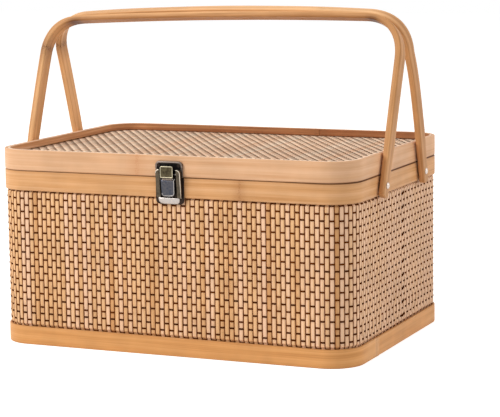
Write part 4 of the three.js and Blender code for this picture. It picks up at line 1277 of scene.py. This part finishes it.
def screw(name, node, slot, material, turn):
    """A slotted screw at a CAD screw's place, with its slot turned by an angle."""
    low, high = box(node)
    middle = (low + high) / 2
    inwards = 1 if middle[1] < 0 else -1
    surface = low[1] if inwards > 0 else high[1]
    head_r = (high[0] - low[0]) / 2
    shank = abs(high[1] - low[1]) - SCREW_HEAD_H
    cos, sin = math.cos(turn), math.sin(turn)

    def place(a, b, c):
        return columns(middle[0] + a * cos - b * sin, surface + (SCREW_HEAD_H - c) * inwards,
                       middle[2] + a * sin + b * cos)

    reach = head_r * 0.9
    profile = [(0, -shank), (SHANK_R, -shank), (SHANK_R, 0), (head_r, 0),
               (head_r * 0.97, SLOT_FLOOR * 0.7), (reach, SLOT_FLOOR), (0, SLOT_FLOOR)]
    disc = turned_solid(profile, place, 20)
    slot_turn = math.asin(SLOT_HALF / reach)
    half_disc = arc(np.linspace(slot_turn, math.pi - slot_turn, 10), reach)
    halves = [extruded(half_disc * flip, SLOT_FLOOR - 0.05 * mm, SCREW_HEAD_H, place) for flip in (1, -1)]
    hand_over(solid_mesh(name, [disc, *halves], material, 0.12 * mm), slot, node)


for number, (side, row) in enumerate((a, b) for a in ("left", "right") for b in ("lid", "body")):
    screw(f"latch_{row}_screw_{side}", f"latch_screw_{row}_{side}", "latch", bronze_dark, 0.5 + 1.1 * number)
    for place_number, place_name in enumerate(("left", "right")):
        screw(f"hinge_{side}_{row}_screw_{place_name}", f"hinge_{side}_screw_{row}_{place_name}",
              "hinges", bronze, 1.3 * number + 0.7 * place_number)

# %% [markdown]
# ## Latch
# A small die-cast toggle latch. The lid plate has a raised bead round a dark enamelled field and
# a catch ledge. The body plate has two raised ears and a polished sloping sill. Between the ears
# a tongue-shaped lever swings on a pin, and a square claw on the lever's own pin hooks over the
# catch. Flat parts are outlines that are extruded and bevelled, which follows how such parts are
# drawn. The lever, the sill and the beads change their section along the way, so they are strips
# of sections. All places are relative to the latch's middle on the band's face at the seam.

# %% Latch frame
latch_low, latch_high = box("latch_body_plate")
latch_x = (latch_low[0] + latch_high[0]) / 2
LATCH_W = latch_high[0] - latch_low[0]
PLATE_BACK, PLATE_FRONT = 0.3 * mm, 1.3 * mm


def latch_front(a, b, c):
    """Outline in (x, up), extruded outwards."""
    return columns(latch_x + a, -half_depth - c, seam_z + b)


def latch_side(a, b, c):
    """Outline in (out, up), extruded along x."""
    return columns(latch_x + c, -half_depth - a, seam_z + b)


def latch_cast(name, node, solids, material, bevel, segments=2):
    """A piece of the latch from closed solids."""
    hand_over(solid_mesh(name, solids, material, bevel, segments), "latch", node)


def latch_strip(name, node, grid, across, along, material, closed=False):
    """A piece of the latch from rows of sections, with its points as (x, up, out)."""
    points = latch_front(*np.moveaxis(grid, -1, 0))[None]
    hand_over(strip_mesh(name, points, across, along, material, closed=closed), "latch", node)


def edge_bead(name, node, points, normals, out, width, height, material, foot=0.2 * mm, steps=6):
    """A half-round bead carried along a path in (x, up), on a face at one distance out, or at a
    distance for each point. Its foot is sunk into the face."""
    turn = np.linspace(0, math.pi, steps)
    section = np.concatenate([arc(turn) * (width / 2, height), [(-width / 2, -foot), (width / 2, -foot)]])
    flat = points[:, None, :] + normals[:, None, :] * section[:, :1]
    grid = columns(flat[..., 0], flat[..., 1], np.reshape(out, (-1, 1)) + section[:, 1])
    latch_strip(name, node, grid, run_of(section), np.arange(len(points)) * mm, material)


# %% Lid plate
plate_low, plate_high = box("latch_lid_plate")
PLATE_TOP, PLATE_BOTTOM = plate_high[2] - seam_z, plate_low[2] - seam_z
PLATE_R = 4 * mm
BEAD_W, BEAD_H, BEAD_END = 2.2 * mm, 0.9 * mm, 7.7 * mm
CATCH_OUT = 3.8 * mm
ENAMEL_T = 0.12 * mm
plate_h = PLATE_TOP - PLATE_BOTTOM
plate_middle = (PLATE_TOP + PLATE_BOTTOM) / 2
plate_outline = rounded_outline(LATCH_W, plate_h, PLATE_R, 0.4 * mm) + (0, plate_middle)
catch = np.array([(-4.6, 5.8), (4.6, 5.8), (4.6, 7.1), (-4.6, 7.1)]) * mm
latch_cast("latch_lid_plate_cast", "latch_lid_plate",
           [extruded(plate_outline, PLATE_BACK, PLATE_FRONT, latch_front),
            extruded(catch, PLATE_BACK, CATCH_OUT, latch_front)], bronze, 0.25 * mm)


def bead_path():
    """Middle line of the bead in (x, up) with its outward normals: up the right side, round both
    corners and down the left side."""
    inset = BEAD_W / 2
    radius = PLATE_R - inset
    half, top = LATCH_W / 2 - inset, PLATE_TOP - inset
    angle = np.linspace(0, math.pi / 2, 9)
    right_corner = (half - radius, top - radius) + arc(angle, radius)
    left_corner = right_corner[::-1] * (-1, 1)
    points = np.concatenate([[(half, BEAD_END)], right_corner, left_corner, [(-half, BEAD_END)]])
    return points, arc(np.concatenate([[0], angle, np.pi - angle[::-1], [math.pi]]))


edge_bead("latch_lid_bead", "latch_lid_plate", *bead_path(), PLATE_FRONT, BEAD_W, BEAD_H, bronze,
          foot=0.3 * mm, steps=7)
inset = BEAD_W - 0.3 * mm
field_outline = rounded_outline(LATCH_W - 2 * inset, plate_h - inset, PLATE_R - inset, 0.3 * mm)
field_outline = field_outline + (0, plate_middle - inset / 2)
latch_cast("latch_lid_field", "latch_lid_plate",
           [extruded(field_outline, PLATE_FRONT, PLATE_FRONT + ENAMEL_T, latch_front)], enamel, 0.05 * mm)
print("lid plate", round(LATCH_W / mm, 1), "x", round(plate_h / mm, 1), "mm")

# %% Body plate and ears
BODY_TOP, BODY_BOTTOM = -0.25 * mm, latch_low[2] - seam_z
SILL_TOP = -18 * mm
EAR_OUT, EAR_RISE, EAR_R = 4.6 * mm, 7.4 * mm, 3.4 * mm
EAR_INNER, EAR_OUTER = 8.2 * mm, 12.5 * mm
EAR_SLOPE = 1.4 * mm
EAR_BEAD_W = 0.8 * mm
EAR_SIDES = {"left": -0.93, "right": 1}
body_outline = rounded_outline(LATCH_W + 0.8 * mm, BODY_TOP - BODY_BOTTOM, 0.4 * mm, PLATE_R)
body_outline = body_outline + (0.4 * mm, (BODY_TOP + BODY_BOTTOM) / 2)
latch_cast("latch_body_plate_cast", "latch_body_plate",
           [extruded(body_outline, PLATE_BACK, PLATE_FRONT, latch_front)], bronze_dark, 0.3 * mm)


def sloped(up, out):
    """A front that slopes: EAR_SLOPE further out at the ears' top and as much further in at the
    sill."""
    return out + EAR_SLOPE * np.clip((up + 5.3 * mm) / (12 * mm), -1, 1)


def ear_place(a, b, c):
    """An ear's outline in (x, up), its back flat and its front sloping."""
    return latch_front(a, b, np.where(c > EAR_OUT - 0.1 * mm, sloped(b, c), c))


def ear_corner(angles, radius):
    """Points at a radius about the middle of the ear's upper outer corner."""
    return (EAR_OUTER - EAR_R, EAR_RISE - EAR_R) + arc(angles, radius)


corner_turn = np.linspace(0, math.pi / 2, 8)
ear_outline = np.concatenate([[(EAR_INNER, SILL_TOP), (EAR_OUTER, SILL_TOP)],
                              ear_corner(corner_turn, EAR_R), [(EAR_INNER, EAR_RISE)]])
latch_cast("latch_ears", "latch_body_plate",
           [extruded(ear_outline * (flip, 1), PLATE_FRONT + 0.3 * mm, EAR_OUT, ear_place)
            for flip in EAR_SIDES.values()], ear_metal, 0.55 * mm, 3)

corner_turn = corner_turn[::-1]
bead_line = np.concatenate([[(EAR_INNER + 0.3 * mm, EAR_RISE - EAR_BEAD_W / 2)],
                            ear_corner(corner_turn, EAR_R - EAR_BEAD_W / 2),
                            [(EAR_OUTER - EAR_BEAD_W / 2, SILL_TOP)]])
bead_normals = np.concatenate([[(0, 1)], arc(corner_turn), [(1, 0)]])

# The ears' bright beads are painted highlights; the left ear's bead ends at the corner, as photographed
for (side, flip), count in zip(EAR_SIDES.items(), (len(bead_line) - 1, len(bead_line))):
    edge_bead(f"latch_ear_highlight_bead_{side}", "latch_body_plate", bead_line[:count] * (flip, 1),
              bead_normals[:count] * (flip, 1), sloped(bead_line[:count, 1], EAR_OUT - 0.1 * mm),
              EAR_BEAD_W, 0.3 * mm, highlight_metal)
print("ears", round(2 * EAR_OUTER / mm, 1), "mm across")

# %% Sill
SILL_OUT = EAR_OUT - EAR_SLOPE
SILL_HALF = 11.8 * mm
SILL_ROWS = 9

# Places across the sill as shares of its half width, and how far the front steps back there
SILL_ACROSS = np.array([-0.88, -0.85, -0.78, -0.42, 0, 0.42, 0.78, 0.85, 0.88])
SILL_ROUND = np.array([0.75, 0.25, 0, 0, 0, 0, 0, 0.25, 0.75]) * mm


def sill_front():
    """Front of the sloping sill as points (x, up, out), in rows from the ears' front down to the
    plate's lower edge: out = SILL_OUT - (SILL_OUT - 0.9 PLATE_FRONT) t^1.4. The lower corners are
    rounded like the plate's."""
    t = np.linspace(0, 1, SILL_ROWS)
    up = SILL_TOP + (BODY_BOTTOM - SILL_TOP) * t
    out = SILL_OUT - (SILL_OUT - PLATE_FRONT * 0.9) * t ** 1.4
    corner = np.clip(BODY_BOTTOM + PLATE_R - up, 0, PLATE_R)
    half = SILL_HALF - PLATE_R + np.sqrt(PLATE_R ** 2 - corner ** 2)
    rounded_out = np.maximum(out[:, None] - SILL_ROUND, PLATE_BACK)
    return columns(np.outer(half, SILL_ACROSS), up[:, None], rounded_out)


front_side = sill_front()
back_side = front_side[:, ::-1] * (1, 1, 0) + (0, 0, PLATE_BACK)
loops = np.concatenate([front_side, back_side], 1)
latch_strip("latch_sill", "latch_body_plate", loops, np.linspace(0, 30, loops.shape[1] + 1) * mm,
            np.linspace(0, 6, SILL_ROWS) * mm, steel)
print("sill from", round(SILL_TOP / mm, 1), "to", round(BODY_BOTTOM / mm, 1), "mm")

# %% Lever tongue
LEVER_HALF, LEVER_OUT, LEVER_T = 6.7 * mm, 4.9 * mm, 0.9 * mm
LEVER_TOP, LEVER_BOTTOM = -2.2 * mm, -16.6 * mm
LEVER_TIP_R, LEVER_ROLL_R = 3.2 * mm, 0.9 * mm
LEVER_CROWN = 0.25 * mm


def lever_slope(up):
    """The lever's face slopes in towards its tip."""
    return np.interp(up, [LEVER_BOTTOM, LEVER_TOP], [-0.5 * mm, 0.9 * mm])


def lever_shell():
    """Outer skin of the lever: at each height a U section, from one flange's back edge round a
    rolled edge across the crowned face to the other flange. Towards the tip the half width
    follows h(z) = w - R + sqrt(R^2 - (R - (z - bottom))^2), and the flanges run out."""
    tip = LEVER_TIP_R * (1 - np.sin(np.linspace(0.2, math.pi / 2, 9)))
    up = np.concatenate([np.linspace(LEVER_TOP, LEVER_BOTTOM + LEVER_TIP_R, 10), LEVER_BOTTOM + tip])
    straight = LEVER_HALF - 0.4 * mm * (LEVER_TOP - up) / (LEVER_TOP - LEVER_BOTTOM)
    below = np.clip(LEVER_TIP_R - (up - LEVER_BOTTOM), 0, LEVER_TIP_R)
    half = straight - LEVER_TIP_R + np.sqrt(np.maximum(LEVER_TIP_R ** 2 - below ** 2, 0))
    depth = np.interp(up, [LEVER_BOTTOM, LEVER_BOTTOM + 3 * mm, LEVER_TOP], [0.75 * mm, 1.2 * mm, 2.6 * mm])
    turn = np.linspace(0, math.pi / 2, 5)
    rolled_x = 1 - (1 - np.cos(turn)) * LEVER_ROLL_R / LEVER_HALF
    face = np.linspace(1, 0, 5)[1:] * (1 - LEVER_ROLL_R / LEVER_HALF)
    x_share = np.concatenate([[1, 1], rolled_x[1:], face])
    x_share = np.concatenate([x_share, -x_share[-2::-1]])
    crown = LEVER_CROWN * (1 - x_share ** 2)
    lip = LEVER_OUT - LEVER_ROLL_R
    front = np.concatenate([lip + (LEVER_ROLL_R * np.sin(turn))[1:], np.full(4, LEVER_OUT)])
    side = np.concatenate([columns(LEVER_OUT - depth - 0.9 * mm, lip), np.tile(front, (len(up), 1))], 1)
    out = np.concatenate([side, side[:, -2::-1]], 1)
    return columns(x_share * half[:, None], up[:, None], out + crown - LEVER_CROWN + lever_slope(up)[:, None])


shell = lever_shell()
inner_shell = shell.copy()
inner_shell[..., 0] *= 1 - LEVER_T / LEVER_HALF
inner_shell[..., 2] = np.minimum(shell[..., 2], np.max(shell[..., 2], 1, keepdims=True) - LEVER_T * 0.95)
loops = np.concatenate([shell, inner_shell[:, ::-1]], 1)
latch_strip("latch_lever_tongue", "latch_lever", loops, np.linspace(0, 40, loops.shape[1] + 1) * mm,
            -shell[:, 0, 1], lever_metal)

# %% Lever arms and bead
# Middles of the lever's own pin and of the pin that it carries, in (out, up)
LEVER_PIVOT, CLAW_PIVOT = np.array([(3.0, 2.9), (4.7, -1.3)]) * mm
LEVER_BEAD_W = 0.9 * mm


def link_outline(a, b, radius, steps=8):
    """Two equal circles at a and b joined by straight tangents, as a closed outline."""
    a, b = np.asarray(a, float), np.asarray(b, float)
    along = math.atan2(*(b - a)[::-1])
    half_turn = np.linspace(0, math.pi, steps)
    return np.concatenate([a + arc(along + math.pi / 2 + half_turn, radius),
                           b + arc(along - math.pi / 2 + half_turn, radius)])


arm = link_outline(CLAW_PIVOT, LEVER_PIVOT, 1.1 * mm)
cheek = np.array([(4.75, -1.3), (4.75, -4.2), (2.1, -4.2), (2.1, -2.8), (3.6, -1.3)]) * mm
latch_cast("latch_lever_arms", "latch_lever",
           [extruded(outline, flip * (LEVER_HALF - LEVER_T), flip * LEVER_HALF, latch_side)
            for flip in (-1, 1) for outline in (arm, cheek)], bronze_dark, 0.2 * mm)
right_line = shell[:, 0, :2] * (1 - LEVER_BEAD_W / 2 / LEVER_HALF, 1) + (0, LEVER_BEAD_W / 2)
left_line = right_line[-3::-1] * (-1, 1)
left_line = left_line[left_line[:, 1] < LEVER_BOTTOM + LEVER_TIP_R * 0.8]
bead_line = np.concatenate([right_line[:-2], left_line])
bead_steps = np.gradient(bead_line, axis=0)
bead_normals = columns(-bead_steps[:, 1], bead_steps[:, 0])
bead_normals /= np.linalg.norm(bead_normals, axis=1, keepdims=True)
# A painted highlight: a bright bead along the lever's rolled edge
edge_bead("latch_lever_highlight_bead", "latch_lever", bead_line, bead_normals,
          LEVER_OUT - 0.2 * mm + lever_slope(bead_line[:, 1]), LEVER_BEAD_W, 0.3 * mm, dim_highlight)
print("lever", round(2 * LEVER_HALF / mm, 1), "mm wide")

# %% Claw
CLAW_HALF, CLAW_OUT, CLAW_T = 6.2 * mm, 7.2 * mm, 0.9 * mm
CLAW_TOP, CLAW_BOTTOM = 10.5 * mm, 0.2 * mm
CLAW_SIDE = 1.5 * mm
RIM_W = 0.85 * mm
claw_h = CLAW_TOP - CLAW_BOTTOM
claw_middle = np.array([0, (CLAW_TOP + CLAW_BOTTOM) / 2])
claw_outline = rounded_outline(2 * CLAW_HALF, claw_h, 1.5 * mm, 0.5 * mm) + claw_middle
hook = np.array([(4.3, 8.8), (6.6, 8.8), (6.6, 9.7), (4.3, 9.7)]) * mm

# The claw hangs on an L-shaped knuckle with a barrel round the pin
bend, knuckle_end = np.array([(4.7, 0.6), (6.6, 0.6)]) * mm
barrel = CLAW_PIVOT + arc(np.linspace(0, 2 * math.pi, 20, endpoint=False), 1.1 * mm)
knuckle = (link_outline(CLAW_PIVOT, bend, 0.45 * mm), link_outline(bend, knuckle_end, 0.45 * mm), barrel)
latch_cast("latch_claw_plate", "latch_claw",
           [extruded(claw_outline, CLAW_OUT - CLAW_T, CLAW_OUT - 0.25 * mm, latch_front),
            *(extruded(outline, CLAW_SIDE - CLAW_HALF, CLAW_HALF - CLAW_SIDE, latch_side)
              for outline in (hook, *knuckle))], bronze, 0.25 * mm)
outer_rim = rounded_outline(2 * CLAW_HALF, claw_h, 1.5 * mm, 0.5 * mm, 5)
inner_rim = rounded_outline(2 * (CLAW_HALF - RIM_W), claw_h - 2 * RIM_W, 0.7 * mm, 0.3 * mm, 5)
rim_rows = ((outer_rim, CLAW_OUT - 0.4 * mm), (outer_rim * 0.985, CLAW_OUT - 0.05 * mm),
            (inner_rim * 1.04, CLAW_OUT), (inner_rim, CLAW_OUT - 0.3 * mm))
rim_grid = np.stack([columns(*(outline + claw_middle).T, out) for outline, out in rim_rows], 1)
# A painted highlight: the claw's rim in a bright finish
latch_strip("latch_claw_highlight_rim", "latch_claw", rim_grid, np.arange(len(rim_rows) + 1) * mm,
            np.arange(len(outer_rim) + 1) * mm, claw_highlight, closed=True)
claw_field = extruded(inner_rim * 1.02 + claw_middle, CLAW_OUT - 0.3 * mm, CLAW_OUT - 0.2 * mm, latch_front)
latch_cast("latch_claw_field", "latch_claw", [claw_field], claw_metal, 0.04 * mm)
print("claw", round(2 * CLAW_HALF / mm, 1), "x", round(claw_h / mm, 1), "mm")

# %% Pins
def pin(name, node, slot):
    """A steel pin along X in a CAD pin's box, with domed ends."""
    low, high = box(node)
    middle = (low + high) / 2
    radius, half = (high[2] - low[2]) / 2, (high[0] - low[0]) / 2
    rise = radius * 0.4

    def place(a, b, c):
        return columns(middle[0] + c, middle[1] + a, middle[2] + b)

    dome = [(radius * math.cos(a), half - rise + rise * math.sin(a)) for a in np.linspace(0, math.pi / 2, 5)]
    profile = [(r, -h) for r, h in dome[::-1]] + dome
    profile[0], profile[-1] = (0, -half), (0, half)
    hand_over(solid_mesh(name, [turned_solid(profile, place, 16)], steel), slot, node)


pin("latch_lever_axle", "latch_lever_pin", "latch")
pin("latch_claw_axle", "latch_claw_pin", "latch")

# %% [markdown]
# ## Hinges
# Two small butt hinges join the lid to the back: a leaf on the body with two knuckles, a leaf on
# the lid with one between them, and a pin through all three. A real leaf is one sheet rolled round
# the pin. Here a flat leaf, its tabs and turned barrels overlap inside one piece, which looks the
# same from outside and keeps each shell closed.

# %% Hinges
KNUCKLE_HALF, KNUCKLE_GAP = 4.8 * mm, 0.3 * mm
BORE_R, BARREL_R, BARREL_EASE = 1.2 * mm, 2.2 * mm, 0.25 * mm
AXIS_OUT = 2.5 * mm
LEAF_IN, LEAF_OUT = 0.3 * mm, 1.3 * mm
LEAF_START = BARREL_R + KNUCKLE_GAP
TAB_END = LEAF_START + 1 * mm
for side in ("left", "right"):
    low, high = box(f"hinge_{side}_leaf_body")
    hinge_x = (low[0] + high[0]) / 2
    half = (high[0] - low[0]) / 2
    leaf_h = seam_z - low[2]
    leaf = rounded_outline(2 * half, leaf_h - LEAF_START, 1.6 * mm, 0.2 * mm) + (0, (leaf_h + LEAF_START) / 2)

    def leaf_place(a, b, c, hinge_x=hinge_x):
        return columns(hinge_x + a, half_depth + c, seam_z + b)

    def barrel_place(a, b, c, hinge_x=hinge_x):
        return columns(hinge_x + c, half_depth + AXIS_OUT + a, seam_z + b)

    inner_end = KNUCKLE_HALF + KNUCKLE_GAP
    for row, up, spans in (("body", -1, ((-half, -inner_end), (inner_end, half))),
                           ("lid", 1, ((-KNUCKLE_HALF, KNUCKLE_HALF),))):
        solids = [extruded(leaf * (1, up), LEAF_IN, LEAF_OUT, leaf_place)]
        for start, end in spans:
            tab = np.array([(start, 0), (end, 0), (end, TAB_END), (start, TAB_END)]) * (1, up)
            knuckle = ring_profile(BORE_R, BARREL_R, start, end, BARREL_EASE)
            solids += [extruded(tab, LEAF_IN, LEAF_OUT, leaf_place), ring_solid(knuckle, barrel_place, 24)]
        hand_over(solid_mesh(f"hinge_{side}_{row}_leaf", solids, bronze, 0.2 * mm), "hinges",
                  f"hinge_{side}_leaf_{row}")
    pin(f"hinge_{side}_axle", f"hinge_{side}_pin", "hinges")
    print(side, "hinge at x", round(hinge_x / mm, 1))
